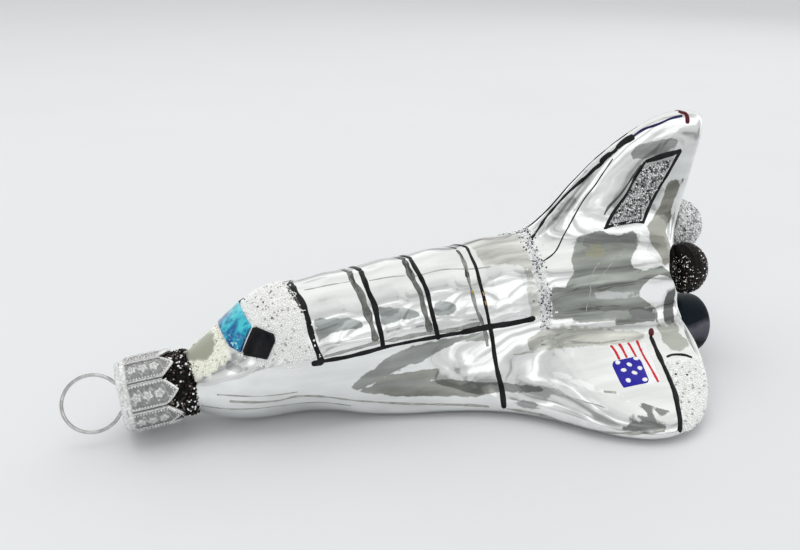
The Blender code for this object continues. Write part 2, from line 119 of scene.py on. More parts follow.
RUDDER = ((31.1, -4.6, 28.6), (40.1, -2.6, 40.2), (48.0, -2.6, 41.5), (39.5, -4.8, 28.5))
RUDDER_EDGES = (
    ((31.4, -4.5, 28.6), (33.6, -3.9, 31.5), (36.2, -3.3, 34.4), (38.0, -3.0, 37.2), (40.1, -2.7, 40.0)),
    ((40.1, -2.6, 40.1), (44.2, -2.7, 40.8), (48.1, -2.6, 41.5)),
    ((48.1, -2.6, 41.5), (45.6, -3.0, 37.8), (42.5, -3.7, 33.5), (39.6, -4.8, 28.5)),
    ((39.7, -4.6, 28.6), (38.0, -4.5, 29.0), (33.5, -4.5, 28.9), (30.9, -4.6, 28.5)),
)
# Painted reflection of the rudder's front edge
RUDDER_REFLECTION = ((31.3, -3.9, 31.0), (32.4, -3.6, 32.4), (35.2, -3.2, 34.8), (37.9, -2.8, 38.0), (39.3, -2.7, 39.5))
ELEVON_LINE = ((36.9, -14.8, 11.2), (35.9, -16.0, 10.5), (35.5, -18.2, 9.1), (34.7, -21.6, 7.9), (33.8, -24.9, 6.8),
               (32.8, -28.1, 5.7), (31.3, -31.2, 4.4), (30.2, -33.4, 3.3), (29.6, -34.2, 2.2))
ELEVON_END = ((36.6, -20.4, 8.2), (38.2, -20.1, 8.2), (40.4, -20.5, 7.9), (41.6, -21.4, 7.5))
WAIST = ((16.6, 0.0, 28.3), (16.5, -1.8, 27.6), (15.8, -4.7, 26.3), (15.2, -8.6, 24.0), (15.1, -10.8, 21.0),
         (15.4, -11.8, 17.5), (15.3, -12.7, 14.9))

# Painted glints: short amber marks on the last hoop, standing in for amber light glinting on the black enamel
GLINTS = (((3.9, -9.0, 21.7), (4.0, -9.5, 21.1)), ((4.0, -9.9, 20.3), (4.1, -10.2, 19.6)),
          ((1.9, -8.6, 22.2), (1.9, -9.0, 21.6)))

# Painted reflections: thin grey lines in the silvering, on the crest, chine and wing root, with their widths
REFLECTED_GREY_LINES = (
    (0.30, ((-26.4, -2.2, 24.1), (-20.9, -2.7, 24.3), (-17.8, -2.8, 24.6))),
    (0.26, ((-15.2, -3.5, 24.6), (-12.0, -3.9, 24.6), (-9.0, -4.4, 24.8))),
    (0.26, ((-7.2, -4.8, 24.7), (-2.9, -4.8, 25.0), (1.1, -5.4, 24.9), (6.7, -6.1, 24.9))),
    (0.22, ((-43.0, -7.4, 9.9), (-36.0, -9.4, 9.5), (-30.1, -10.4, 9.7))),
    (0.26, ((-46.0, -6.6, 6.9), (-39.0, -8.4, 6.6), (-33.0, -9.8, 6.5), (-27.0, -10.4, 6.4), (-21.0, -10.9, 4.7))),
    (0.46, ((-41.0, -7.8, 8.6), (-33.8, -9.6, 8.2), (-30.1, -10.3, 8.7), (-26.2, -10.5, 8.0), (-19.8, -10.9, 5.9),
     (-12.5, -12.1, 4.5), (-7.6, -13.3, 3.9), (2.6, -16.7, 3.0))),
    (0.55, ((5.2, -18.0, 2.8), (7.3, -19.2, 2.6), (9.4, -20.8, 2.5), (11.4, -22.5, 2.2), (13.4, -24.2, 1.7),
     (15.3, -26.0, 1.5), (17.5, -28.6, 1.7), (19.8, -31.0, 2.3), (22.6, -32.5, 2.7), (26.8, -33.6, 3.0))),
    (0.26, ((13.5, -14.1, 12.7), (14.3, -14.2, 12.9), (16.0, -14.6, 12.7), (18.8, -15.3, 12.3), (21.6, -15.9, 11.8),
     (24.5, -16.4, 11.3), (27.8, -16.3, 11.1), (30.0, -16.3, 10.9))),
    (0.3, ((13.3, -14.6, 12.2), (14.9, -14.9, 12.2), (17.0, -15.5, 12.0), (19.6, -15.7, 12.0), (22.5, -16.1, 11.6),
     (24.5, -16.4, 11.3))),
    (0.24, ((14.9, -14.1, 13.0), (17.0, -14.1, 13.3), (19.6, -13.7, 13.6), (20.7, -13.8, 13.5))),
    (0.36, ((8.0, -14.2, 11.1), (9.0, -14.5, 11.1), (10.3, -14.7, 11.3), (11.7, -15.0, 11.3))),
    (0.4, ((20.1, -24.9, 7.0), (20.8, -25.2, 7.0), (22.1, -25.7, 6.9))),
    (0.2, ((14.1, -22.9, 6.3), (15.7, -24.4, 6.0), (17.0, -25.6, 5.8), (18.3, -26.7, 5.6), (19.0, -27.4, 5.4))),
    (0.2, ((26.0, -11.2, 21.7), (28.0, -10.6, 22.5), (30.4, -9.5, 23.7), (32.6, -8.4, 24.4), (34.6, -7.3, 25.1))),
    (0.22, ((23.5, -12.5, 16.0), (24.0, -12.1, 18.1), (24.6, -11.7, 19.9), (24.5, -11.2, 21.7), (25.9, -10.2, 23.0),
     (27.7, -9.2, 24.0))),
)

# Painted reflections in the silvering, dark shapes that stand in for the room mirrored in the glass: how much
# light stays, softness, and an outline in x, z from the side or in x, y from above
SIDE_PAINTED_REFLECTIONS = (
    ((0.43, 0.46, 0.45), 1.0, ((-26.4, 21.2), (-24.1, 20.8), (-20.5, 20.6), (-18.8, 20.0), (-18.4, 19.3),
     (-19.3, 18.9), (-21.9, 19.0), (-23.7, 18.9), (-25.2, 18.3), (-26.2, 17.6))),
    ((0.43, 0.46, 0.45), 1.0, ((-15.2, 21.5), (-10.5, 21.0), (-9.2, 20.5), (-8.1, 19.6), (-9.4, 19.3), (-12.2, 19.3),
     (-13.9, 19.0), (-15.3, 18.9))),
    ((0.43, 0.46, 0.45), 1.0, ((-5.7, 21.1), (-4.6, 21.3), (-3.2, 21.1), (-1.9, 20.6), (-1.4, 19.7), (-2.1, 19.1),
     (-4.5, 18.9), (-5.6, 19.1))),
    ((0.38, 0.40, 0.38), 1.0, ((-21.2, 9.0), (-19.4, 10.8), (-17.1, 11.8), (-14.4, 13.6), (-11.0, 14.5), (-8.2, 14.9),
     (-4.5, 15.0), (0.1, 15.1), (3.9, 15.3), (4.3, 13.7), (1.5, 13.9), (-2.0, 14.1), (-4.9, 13.3), (-8.3, 11.8),
     (-11.2, 11.4), (-14.2, 10.4), (-17.2, 9.2), (-19.9, 8.1))),
    ((0.39, 0.40, 0.36), 1.0, ((-19.9, 7.9), (-17.2, 8.7), (-16.1, 9.9), (-11.2, 10.3), (-5.2, 10.2), (-5.8, 8.8),
     (-7.2, 8.2), (-3.4, 8.2), (0.0, 7.6), (5.5, 7.0), (11.0, 6.9), (11.4, 6.5), (5.3, 5.8), (2.2, 5.5), (0.1, 4.8),
     (-3.7, 5.3), (-7.6, 5.4), (-12.9, 6.0), (-17.7, 7.1))),
    (0.44, 1.0, ((37.1, 42.0), (38.1, 43.0), (42.0, 43.7), (45.8, 44.0), (48.9, 42.6), (46.9, 41.9), (40.9, 40.7),
     (37.5, 40.7))),
    (0.74, 0.3, ((24.1, 34.0), (26.1, 34.9), (25.5, 32.4), (21.9, 30.5), (21.5, 30.9))),
    (0.80, 0.3, ((29.0, 38.9), (29.4, 38.0), (27.6, 36.0), (26.6, 35.4))),
    ((0.37, 0.39, 0.36), 1.0, ((22.1, 24.5), (23.5, 25.9), (25.2, 27.5), (26.6, 27.8), (28.5, 28.3), (30.4, 28.1),
     (29.3, 27.2), (32.3, 27.2), (34.6, 27.3), (36.9, 27.5), (38.1, 26.9), (37.4, 25.0), (35.7, 24.2), (34.2, 23.2),
     (34.5, 22.3), (36.8, 21.7), (39.2, 21.6), (41.0, 21.7), (42.1, 20.9), (44.1, 19.6), (44.0, 18.1), (42.1, 19.6),
     (40.1, 20.3), (37.7, 19.9), (36.0, 18.9), (35.2, 17.9), (36.4, 16.3), (38.3, 14.9), (39.3, 13.8), (39.2, 11.7),
     (34.9, 12.0), (26.1, 13.4), (22.9, 14.1), (21.0, 14.9), (18.0, 15.4), (15.3, 16.1), (15.3, 19.3), (16.8, 21.4),
     (19.3, 21.1), (21.7, 23.2))),
    (0.45, 1.0, ((15.3, 21.5), (16.6, 21.2), (16.6, 19.9), (15.3, 19.6))),
    (0.55, 1.0, ((15.1, 19.5), (16.4, 19.4), (16.8, 17.7), (15.2, 17.5))),
    ((0.34, 0.34, 0.29), 1.0, ((45.6, 35.9), (49.3, 36.1), (47.0, 32.0), (45.8, 28.0), (43.2, 26.1), (41.0, 26.4),
     (41.2, 28.3), (43.3, 30.7))),
    ((0.80, 0.80, 0.75), 0.6, ((5.6, 24.9), (9.0, 24.9), (12.3, 24.6), (12.4, 22.3), (11.9, 20.0), (12.6, 17.5),
     (12.4, 16.6), (15.2, 16.4), (15.3, 22.0), (15.6, 25.0), (17.0, 28.6), (5.6, 27.6))),
    (0.60, 0.7, ((-40.5, 15.4), (-41.0, 14.1), (-39.4, 13.4), (-36.6, 14.6), (-38.6, 14.6))),
    (0.55, 1.0, ((-46.4, 12.4), (-45.3, 11.5), (-46.4, 10.7))),
)
TOP_PAINTED_REFLECTIONS = (
    ((0.68, 0.68, 0.62), 0.6, ((15.2, 13.0), (25.7, 14.3), (35.2, 15.2), (33.0, 16.9), (24.3, 16.8), (16.3, 16.1),
     (9.3, 14.3), (11.7, 13.3))),
    (0.70, 1.0, ((11.9, 13.7), (15.5, 14.5), (16.8, 15.2), (13.1, 14.5))),
)

# Smaller painted reflections over those, dark shapes and bright painted highlights, in the same way
SIDE_REFLECTION_DETAILS = (
    (0.34, 1.0, ((-20.3, 8.1), (-16.5, 8.7), (-12.0, 8.9), (-7.2, 8.3), (0.0, 7.5), (11.2, 6.8), (5.5, 6.5),
     (0.0, 6.9), (-7.0, 7.6), (-12.0, 8.2), (-17.0, 7.9))),
    (0.33, 1.0, ((-19.0, 10.0), (-14.0, 12.2), (-8.0, 13.4), (-3.0, 14.3), (2.0, 14.5), (-4.0, 14.6), (-10.0, 13.8),
     (-16.0, 12.2))),
    (0.27, 1.0, ((26.7, 27.7), (28.5, 28.3), (30.2, 28.3), (32.4, 27.4), (33.6, 26.9), (36.5, 27.4), (37.9, 26.9),
     (37.5, 25.7), (36.1, 26.5), (33.7, 26.3), (31.6, 26.5), (29.3, 26.3), (27.1, 26.0), (25.4, 26.3))),
    ((0.36, 0.36, 0.27), 1.0, ((25.8, 25.7), (27.6, 26.3), (29.6, 25.9), (30.2, 25.3), (28.9, 24.6), (26.9, 24.6),
     (25.4, 24.8))),
    (0.19, 1.0, ((32.1, 15.3), (35.5, 15.1), (38.2, 14.2), (38.8, 13.7), (38.5, 12.0), (35.1, 13.0), (33.0, 14.2))),
    (0.62, 1.0, ((25.4, 19.4), (28.7, 19.1), (34.3, 17.9), (35.0, 17.0), (32.1, 17.2), (25.7, 18.1))),
    (0.22, 1.0, ((22.6, 14.5), (26.3, 14.6), (30.6, 13.7), (35.0, 12.6), (38.5, 12.0), (38.4, 11.6), (30.4, 12.7),
     (24.0, 13.8))),
    (1.2, 1.0, ((38.7, 27.2), (40.1, 26.4), (40.5, 25.5), (39.0, 24.8), (39.1, 23.6), (40.8, 22.3), (41.5, 21.6),
     (40.1, 22.0), (38.0, 21.8), (36.1, 21.8), (34.5, 22.3), (34.2, 23.2), (35.4, 24.1), (37.1, 24.9), (38.0, 25.9))),
    (1.15, 1.0, ((35.4, 18.1), (36.0, 18.9), (37.7, 19.9), (40.1, 20.3), (42.1, 19.6), (43.0, 18.9), (44.1, 17.9),
     (43.0, 17.5), (41.6, 17.2), (40.7, 16.0), (40.4, 14.3), (39.6, 11.3), (38.9, 11.4), (39.6, 13.6), (38.3, 14.9),
     (36.4, 16.3), (35.2, 17.3))),
    ((0.42, 0.42, 0.37), 1.0, ((42.7, 29.7), (46.8, 29.6), (45.8, 28.0), (44.5, 27.1), (45.0, 25.0), (45.0, 23.1),
     (44.4, 21.7), (41.5, 21.6), (41.6, 22.8), (41.1, 24.3), (40.1, 25.7), (41.1, 27.2), (40.4, 28.0))),
    (1.3, 1.0, ((6.3, 22.9), (7.9, 23.7), (10.2, 24.0), (11.4, 23.6), (11.6, 22.0), (11.3, 20.4), (10.0, 19.6),
     (8.0, 19.6), (6.6, 20.6))),
    (0.15, 1.0, ((41.2, 15.3), (41.9, 16.6), (43.0, 17.3), (43.8, 17.4), (44.2, 16.3), (43.6, 14.9), (43.2, 13.1),
     (42.9, 11.5), (41.8, 11.0), (40.4, 11.3), (40.7, 13.2))),
    (0.36, 1.0, ((5.3, 6.9), (7.7, 6.8), (10.7, 6.9), (11.5, 6.8), (11.3, 6.5), (9.0, 6.0), (7.2, 5.8), (5.2, 5.9))),
    (0.45, 1.0, ((5.1, 4.0), (6.6, 4.2), (8.0, 4.7), (9.0, 4.8), (9.5, 4.4), (10.1, 3.7), (8.9, 3.4), (7.5, 3.5),
     (6.4, 3.8))),
)
TOP_REFLECTION_DETAILS = (
    (1.2, 1.0, ((13.5, 18.5), (14.4, 19.0), (16.7, 21.2), (19.3, 23.6), (20.8, 24.8), (20.0, 25.1), (17.8, 23.5),
     (15.2, 21.1), (13.5, 19.2))),
    (1.2, 1.0, ((11.8, 20.1), (13.2, 20.7), (15.6, 23.0), (18.0, 25.5), (19.0, 26.8), (20.0, 27.8), (19.2, 27.8),
     (18.0, 26.5), (15.8, 24.3), (13.3, 21.9), (11.7, 20.5))),
    (1.2, 1.0, ((22.2, 25.7), (23.1, 26.6), (23.8, 28.0), (23.2, 28.1), (22.3, 26.6))),
    (0.24, 1.0, ((24.5, 28.6), (27.5, 29.2), (27.4, 29.6), (26.6, 29.8), (26.2, 30.6), (25.4, 31.1), (25.2, 30.3),
     (25.0, 29.6), (24.5, 29.0))),
    (0.28, 1.0, ((27.7, 30.4), (29.3, 30.9), (29.5, 31.4), (28.7, 31.7), (27.0, 31.8), (26.4, 31.4), (27.1, 30.8))),
    (0.3, 1.0, ((20.9, 29.1), (23.1, 30.0), (24.9, 31.0), (25.0, 31.4), (24.2, 31.5), (23.5, 30.9), (22.0, 30.2),
     (21.1, 29.6))),
    (0.26, 1.0, ((20.2, 30.4), (20.8, 30.9), (22.0, 30.9), (23.3, 31.3), (24.6, 31.1), (25.7, 31.2), (26.3, 31.9),
     (25.9, 32.7), (26.6, 32.6), (27.5, 32.8), (26.9, 33.5), (25.9, 33.5), (23.9, 32.9), (21.8, 32.0), (20.2, 31.1),
     (20.2, 30.9))),
    ((0.50, 0.51, 0.46), 0.5, ((38.1, 14.6), (39.6, 14.0), (40.6, 14.9), (41.4, 14.2), (42.9, 14.9), (42.7, 16.6),
     (43.4, 17.8), (42.6, 19.3), (41.9, 18.9), (40.9, 19.8), (39.4, 19.1), (38.2, 19.7), (38.6, 18.2), (37.6, 17.3),
     (38.6, 16.1))),
)

# Painted flag on the wing, from above
FLAG_FIELD = ((25.7, -17.3, 10.6), (34.2, -16.9, 10.0), (33.5, -20.1, 8.6), (31.8, -25.3, 6.8), (28.6, -25.8, 6.8),
              (26.0, -21.0, 9.0))
FLAG_STRIPES = (((26.4, -17.0, 10.7), (26.6, -18.2, 10.0), (26.5, -19.9, 9.4)), ((28.3, -16.9, 10.7),
                (28.3, -18.0, 10.0), (28.2, -19.8, 9.4)), ((30.3, -16.9, 10.5), (30.3, -18.0, 9.8),
                (30.2, -19.9, 9.1)), ((32.5, -16.6, 10.4), (32.0, -18.8, 9.3), (31.6, -22.1, 8.0),
                (31.1, -25.4, 6.8)))
FLAG_CANTON = ((25.1, -20.0, 9.4), (30.4, -19.6, 9.1), (30.7, -20.7, 8.6), (30.2, -22.6, 7.9), (29.6, -24.7, 7.2),
               (29.0, -25.3, 7.0), (23.9, -25.3, 7.1), (23.9, -24.1, 7.6), (24.4, -20.7, 9.1))
FLAG_DOTS = ((25.7, -20.5, 9.2), (29.8, -20.2, 9.0), (27.7, -21.2, 8.7), (29.3, -22.2, 8.2), (25.9, -22.1, 8.4),
             (27.6, -23.0, 8.0), (25.5, -24.2, 7.6), (28.7, -24.6, 7.2))
DOT_RADIUS = 0.55

# Painted windows, and the way that they are laid on; the side window's y outwards
WINDSHIELD = ((-38.3, -6.6, 16.5), (-39.7, -4.9, 16.9), (-40.4, -1.6, 18.1), (-40.4, 1.6, 18.1), (-39.7, 4.9, 16.9),
              (-38.3, 6.6, 16.5), (-36.0, 4.9, 20.2), (-36.6, 0.8, 21.2), (-36.6, -0.8, 21.2), (-36.0, -4.9, 20.2))
WINDSHIELD_AIM = Vector((0.66, 0, -0.75))
SIDE_WINDOW = ((-35.9, 5.3, 20.1), (-35.3, 5.6, 20.3), (-33.0, 7.7, 19.6), (-33.0, 8.4, 18.6), (-34.6, 9.1, 15.9),
               (-37.9, 7.0, 16.2), (-38.0, 6.6, 16.9))
SIDE_WINDOW_AIM = Vector((0.4, -0.75, -0.53))

# Bare and cream patches on the nose, in x, y from above; in front of NECK_TO_X the glass is plain
NECK_TO_X = -47.0
BARE_MIDDLE, BARE_SIZE, BARE_ROUNDNESS = (-44.0, 0.0), (2.4, 4.1), 2.6
CREAM = ((-46.4, 1.8), (-44.8, 3.0), (-43.0, 4.2), (-42.2, 3.1), (-41.7, 1.5), (-41.6, -1.0), (-40.6, -1.0),
         (-40.4, 1.8), (-40.0, 3.9), (-39.7, 5.0), (-40.4, 5.9), (-43.3, 5.5), (-44.9, 5.0), (-46.2, 3.9))


def at(x, y, z):
    """A point of the tables, in the frame."""
    return Vector((x - MIDDLE_X, y, z - FLOOR_Z - DIP * (DIP_FROM_X - x))) * MM


def in_table(point):
    """A point of the frame, in the tables."""
    x = point.x / MM + MIDDLE_X
    return x, point.y / MM, point.z / MM + FLOOR_Z + DIP * (DIP_FROM_X - x)


def on_side(points, side):
    """A port-side table for either side, as points of the frame."""
    return [at(x, -side * y, z) for x, y, z in points]


def side_name(side):
    return "port" if side < 0 else "starboard"


def clamp(value, low=0.0, high=1.0):
    return max(low, min(high, value))


def ease(a, b, value):
    t = clamp((value - a) / (b - a))
    return t * t * (3 - 2 * t)


# ---------------------------------------------------------------- settings


def length_setting(name, description, default):
    return FloatProperty(name=name, description=description, default=default, unit="LENGTH")


def color_setting(name, description, default):
    return FloatVectorProperty(name=name, description=description, default=default, size=3, subtype="COLOR",
                               min=0, max=1)


class GlassSettings(bpy.types.PropertyGroup):
    tint: color_setting("Silvering", "Colour of the silvered glass", (0.93, 0.94, 0.93))
    spot: color_setting("Bare spot", "Colour where the silvering is missing on the nose", (0.31, 0.32, 0.24))
    wave_height: length_setting("Wave height", "Unevenness of the blown surface", 0.00011)
    wave_size: length_setting("Wave size", "Length of the blown surface's waves", 0.008)
    panel_rise: length_setting("Panel rise", "How far each door panel bulges between the hoops", 0.00032)
    levels: IntProperty(name="Smoothing", description="Subdivision levels of the glass", default=2, min=0, max=2)


class EnamelSettings(bpy.types.PropertyGroup):
    line_width: length_setting("Line width", "Width of the brushed black lines", 0.00082)
    line_height: length_setting("Line height", "Thickness of the enamel", 0.00012)
    pane_rise: length_setting("Pane rise", "Thickness of the painted windows", 0.0005)
    black: color_setting("Black", "Enamel of the lines", (0.005, 0.005, 0.006))
    maroon: color_setting("Maroon", "Reddish ends of the lines", (0.10, 0.008, 0.014))
    violet: color_setting("Violet", "Bluish stretch of the fin's line", (0.018, 0.014, 0.085))
    # The amber colour is for painted glints on the last hoop
    amber_glint: color_setting("Amber", "Thin places of the last hoop", (0.50, 0.30, 0.04))
    red: color_setting("Flag red", "Stripes of the flag", (0.62, 0.010, 0.022))
    blue: color_setting("Flag blue", "Field of the flag", (0.016, 0.010, 0.33))
    white: color_setting("Flag white", "Ground and dots of the flag", (0.90, 0.90, 0.90))


class GlitterSettings(bpy.types.PropertyGroup):
    white_grain: length_setting("White grain", "Radius of the white glass grains", 0.00021)
    silver_grain: length_setting("Silver grain", "Radius of the silver grains", 0.00021)
    black_grain: length_setting("Black grain", "Radius of the black grains", 0.00022)
    spacing: FloatProperty(name="Spacing", description="Least distance between grains, in grain radii",
                           default=1.55, min=1)
    seed: IntProperty(name="Seed", description="Seed of the scattering", default=4)


class CapSettings(bpy.types.PropertyGroup):
    bead: length_setting("Bead", "Radius of the pressed beads", 0.00016)
    bead_gap: length_setting("Bead gap", "Distance between beads", 0.00046)
    emboss: length_setting("Emboss", "Height of the pressed flowers", 0.00034)


class StageSettings(bpy.types.PropertyGroup):
    camera: FloatVectorProperty(name="Camera", description="Place of the camera",
                                default=(-0.05125, -0.1234, 0.07787), size=3, subtype="XYZ", unit="LENGTH")
    turn: FloatVectorProperty(name="Turn", description="Rotation of the camera", default=(1.1747, -0.0140, -0.3666),
                              size=3, subtype="EULER")
    lens: FloatProperty(name="Lens", description="Focal length in millimetres", default=36.0)
    floor: color_setting("Floor", "Colour of the floor", (0.70, 0.71, 0.72))
    backdrop: color_setting("Backdrop", "Colour of the wall behind", (0.79, 0.81, 0.82))
    open_side: FloatVectorProperty(name="Open side", description="Where the studio is bright and plain",
                                   default=(0.48, 0.36, 0.80), size=3, subtype="DIRECTION")
    surround: FloatProperty(name="Surround", description="Brightness of the studio", default=0.79, min=0)


SETTINGS = {"ornament_glass": GlassSettings, "ornament_enamel": EnamelSettings,
            "ornament_glitter": GlitterSettings, "ornament_cap": CapSettings, "ornament_stage": StageSettings}


# ---------------------------------------------------------------- materials


def link(tree, a, b):
    tree.links.new(a, b)


def put(tree, value, socket):
    """Feeds a socket with an output, a colour or a number."""
    if isinstance(value, bpy.types.NodeSocket):
        link(tree, value, socket)
    else:
        socket.default_value = (*value, 1) if isinstance(value, tuple) else value


def set_stops(ramp, stops):
    """Gives a colour ramp its stops, each a place and a colour."""
    while len(ramp.elements) < len(stops):
        ramp.elements.new(0.5)
    for element, (place, color) in zip(ramp.elements, stops):
        element.position = place
        element.color = (*color, 1)


def hand_finish():
    """Node group of a soft uneven spread, and a bump of it: for silvering, enamel and foil."""
    tree = bpy.data.node_groups.get("hand_finish")
    if tree:
        return tree
    tree = bpy.data.node_groups.new("hand_finish", "ShaderNodeTree")
    tree.interface.new_socket("Vector", in_out="INPUT", socket_type="NodeSocketVector")
    for name, default in (("Size", 300.0), ("Low", 0.0), ("High", 1.0), ("Bump", 0.1), ("Distance", 0.0001)):
        tree.interface.new_socket(name, in_out="INPUT", socket_type="NodeSocketFloat").default_value = default
    tree.interface.new_socket("Value", in_out="OUTPUT", socket_type="NodeSocketFloat")
    tree.interface.new_socket("Normal", in_out="OUTPUT", socket_type="NodeSocketVector")
    start, end, cloud, spread, bump = (tree.nodes.new(kind) for kind in (
        "NodeGroupInput", "NodeGroupOutput", "ShaderNodeTexNoise", "ShaderNodeMapRange", "ShaderNodeBump"))
    cloud.inputs["Detail"].default_value = 4
    spread.inputs["From Min"].default_value = 0.32
    spread.inputs["From Max"].default_value = 0.68
    for a, out, b, into in ((start, "Vector", cloud, "Vector"), (start, "Size", cloud, "Scale"),
                            (cloud, "Fac", spread, "Value"), (start, "Low", spread, "To Min"),
                            (start, "High", spread, "To Max"), (cloud, "Fac", bump, "Height"),
                            (start, "Bump", bump, "Strength"), (start, "Distance", bump, "Distance"),
                            (spread, "Result", end, "Value"), (bump, "Normal", end, "Normal")):
        link(tree, a.outputs[out], b.inputs[into])
    return tree


SHADER_SOCKETS = {"metallic": "Metallic", "roughness": "Roughness", "color": "Base Color", "coat": "Coat Weight",
                  "coat_roughness": "Coat Roughness", "gloss": "Specular IOR Level", "glow": "Emission Strength"}


class Look:
    """A material with its Principled shader, and short ways to add nodes to it."""

    def __init__(self, name, **values):
        self.material = bpy.data.materials.new(name)
        self.material.use_nodes = True
        self.tree = self.material.node_tree
        self.shader = self.tree.nodes["Principled BSDF"]
        for key, value in values.items():
            put(self.tree, value, self.shader.inputs[SHADER_SOCKETS[key]])
        self.place = self.node("ShaderNodeTexCoord").outputs["Object"]

    def node(self, kind, **values):
        made = self.tree.nodes.new(kind)
        for name, value in values.items():
            setattr(made, name, value)
        return made

    def feed(self, output, socket="Base Color"):
        link(self.tree, output, self.shader.inputs[socket])

    def finish(self, size, low, high, bump, distance, vector):
        """Places the hand finish; returns its node."""
        made = self.node("ShaderNodeGroup", node_tree=hand_finish())
        for name, value in (("Vector", vector or self.place), ("Size", size), ("Low", low), ("High", high),
                            ("Bump", bump), ("Distance", distance)):
            put(self.tree, value, made.inputs[name])
        return made

    def mottle(self, size, low=0.0, high=1.0, vector=None):
        """An uneven spread of values from low to high."""
        return self.finish(size, low, high, 0.1, 0.0001, vector).outputs["Value"]

    def uneven(self, size, low, high, bump, distance):
        """An uneven spread that also bumps the surface."""
        made = self.finish(size, low, high, bump, distance, None)
        self.feed(made.outputs["Normal"], "Normal")
        return made.outputs["Value"]

    def rough(self, size, low, high):
        self.feed(self.mottle(size, low, high), "Roughness")

    def mix(self, factor, a, b, blend="MIX"):
        """A colour mix; each value is a colour, a number or an output."""
        made = self.node("ShaderNodeMix", data_type="RGBA", blend_type=blend)
        for value, socket in ((factor, made.inputs["Factor"]), (a, made.inputs[6]), (b, made.inputs[7])):
            put(self.tree, value, socket)
        return made.outputs[2]

    def math(self, operation, *values):
        made = self.node("ShaderNodeMath", operation=operation)
        for value, socket in zip(values, made.inputs):
            put(self.tree, value, socket)
        return made.outputs[0]

    def spread(self, value, low, high):
        """Nothing at low, all at high."""
        made = self.node("ShaderNodeMapRange")
        for name, fed in (("From Min", low), ("From Max", high), ("Value", value)):
            put(self.tree, fed, made.inputs[name])
        return made.outputs["Result"]

    def height(self, low, high):
        """How far up a place is, from low to high."""
        split = self.node("ShaderNodeSeparateXYZ")
        link(self.tree, self.place, split.inputs[0])
        return self.spread(split.outputs["Z"], low, high)

    def ramp(self, factor, stops, mode="LINEAR"):
        made = self.node("ShaderNodeValToRGB")
        made.color_ramp.interpolation = mode
        set_stops(made.color_ramp, stops)
        link(self.tree, factor, made.inputs["Fac"])
        return made.outputs["Color"]

    def attribute(self, name, output="Fac"):
        return self.node("ShaderNodeAttribute", attribute_name=name).outputs[output]


def dimmed(color, share):
    return tuple(share * c for c in color)


def silvered_glass_look(s):
    """Bright silvering under clear glass, a little uneven, with painted reflections in its colour (streaks along the
    body, dark shapes and bright painted highlights), a bare spot and lacquer.
    """
    look = Look("silvered_glass", coat=0.4, coat_roughness=0.02)
    # Streaks along the body, darker and lighter: painted reflection in the silvering's colour
    along = look.node("ShaderNodeMapping")
    along.inputs["Scale"].default_value = (0.16, 1.0, 1.0)
    link(look.tree, look.place, along.inputs["Vector"])
    streak = look.mottle(420.0, vector=along.outputs["Vector"])
    wobble = look.mottle(700.0, -0.16, 0.16)
    with_painted_reflections = look.mix(streak, dimmed(s.tint, 0.84), tuple(s.tint))
    # Two layers of painted reflection: dark shapes, then smaller dark shapes and bright painted highlights
    for layer, low, high in (("painted_reflection", 0.52, 1.10), ("painted_reflection_detail", 0.78, 1.06)):
        edge = look.spread(look.math("ADD", wobble, look.attribute(layer + "_edge")), -0.09, 0.09)
        tone = look.attribute(layer + "_tone", "Color")
        kept = look.mix(1.0, look.mix(streak, (low,) * 3, (high,) * 3), tone, "MULTIPLY")
        with_painted_reflections = look.mix(edge, with_painted_reflections, kept)
    spot = look.mix(look.mottle(2600.0, 0.8, 1.15), dimmed(s.spot, 0.8), tuple(s.spot))
    bare, cover = look.attribute("bare"), look.attribute("lacquer", "Alpha")
    look.feed(look.mix(cover, look.mix(bare, with_painted_reflections, spot), look.attribute("lacquer", "Color")))
    dull = look.math("MAXIMUM", bare, cover)
    look.feed(look.math("MULTIPLY_ADD", dull, 0.3, look.mottle(240.0, 0.012, 0.05)), "Roughness")
    look.feed(look.math("SUBTRACT", 1.0, dull), "Metallic")
    look.uneven(90.0, 0.0, 1.0, bump=0.05, distance=0.0006)
    return look.material


def enamel_look(name, roughness, coat=0.04):
    """Brushed enamel; the colour is in the piece's own attribute."""
    look = Look(name, coat=coat, coat_roughness=0.08, gloss=0.08)
    streak = look.uneven(1500.0, roughness * 0.7, roughness * 1.5, bump=0.2, distance=0.00004)
    look.feed(streak, "Roughness")
    look.feed(look.mix(look.mottle(420.0, 0.0, 0.05), look.attribute("ink", "Color"), (0.30, 0.30, 0.31)))
    return look.material


def line_reflection_look():
    """A painted grey reflection of a line in the silvering; its depth, how dark it is, is in the piece's own
    attribute.
    """
    look = Look("painted_line_reflection", metallic=1.0)
    paler = look.mix(look.mottle(700.0), (1.0, 1.0, 1.0), (1.7, 1.7, 1.65))
    look.feed(look.mix(1.0, paler, look.attribute("ink", "Color"), "MULTIPLY"))
    look.rough(500.0, 0.04, 0.12)
    return look.material


def grain_look(name, stops, metallic, roughness, coat=0.0, gloss=0.5, dusty=0.05):
    """Grains of glitter: each grain has a tone of its own, and a few are specks of another colour."""
    look = Look(name, metallic=metallic, coat=coat, gloss=gloss)
    tone = look.ramp(look.attribute("tone"), stops, mode="CONSTANT")
    look.feed(look.mix(look.mottle(4000.0, 0.0, dusty), tone, (0.5, 0.5, 0.48)))
    look.rough(2500.0, roughness * 0.6, roughness * 1.5)
    return look.material


def lacquer_look(name, dark, light, roughness):
    """Lacquer that holds the grains."""
    look = Look(name, gloss=0.12)
    look.feed(look.mix(look.uneven(1800.0, 0.0, 1.0, bump=0.6, distance=0.0001), dark, light))
    look.rough(900.0, roughness * 0.7, roughness * 1.4)
    return look.material


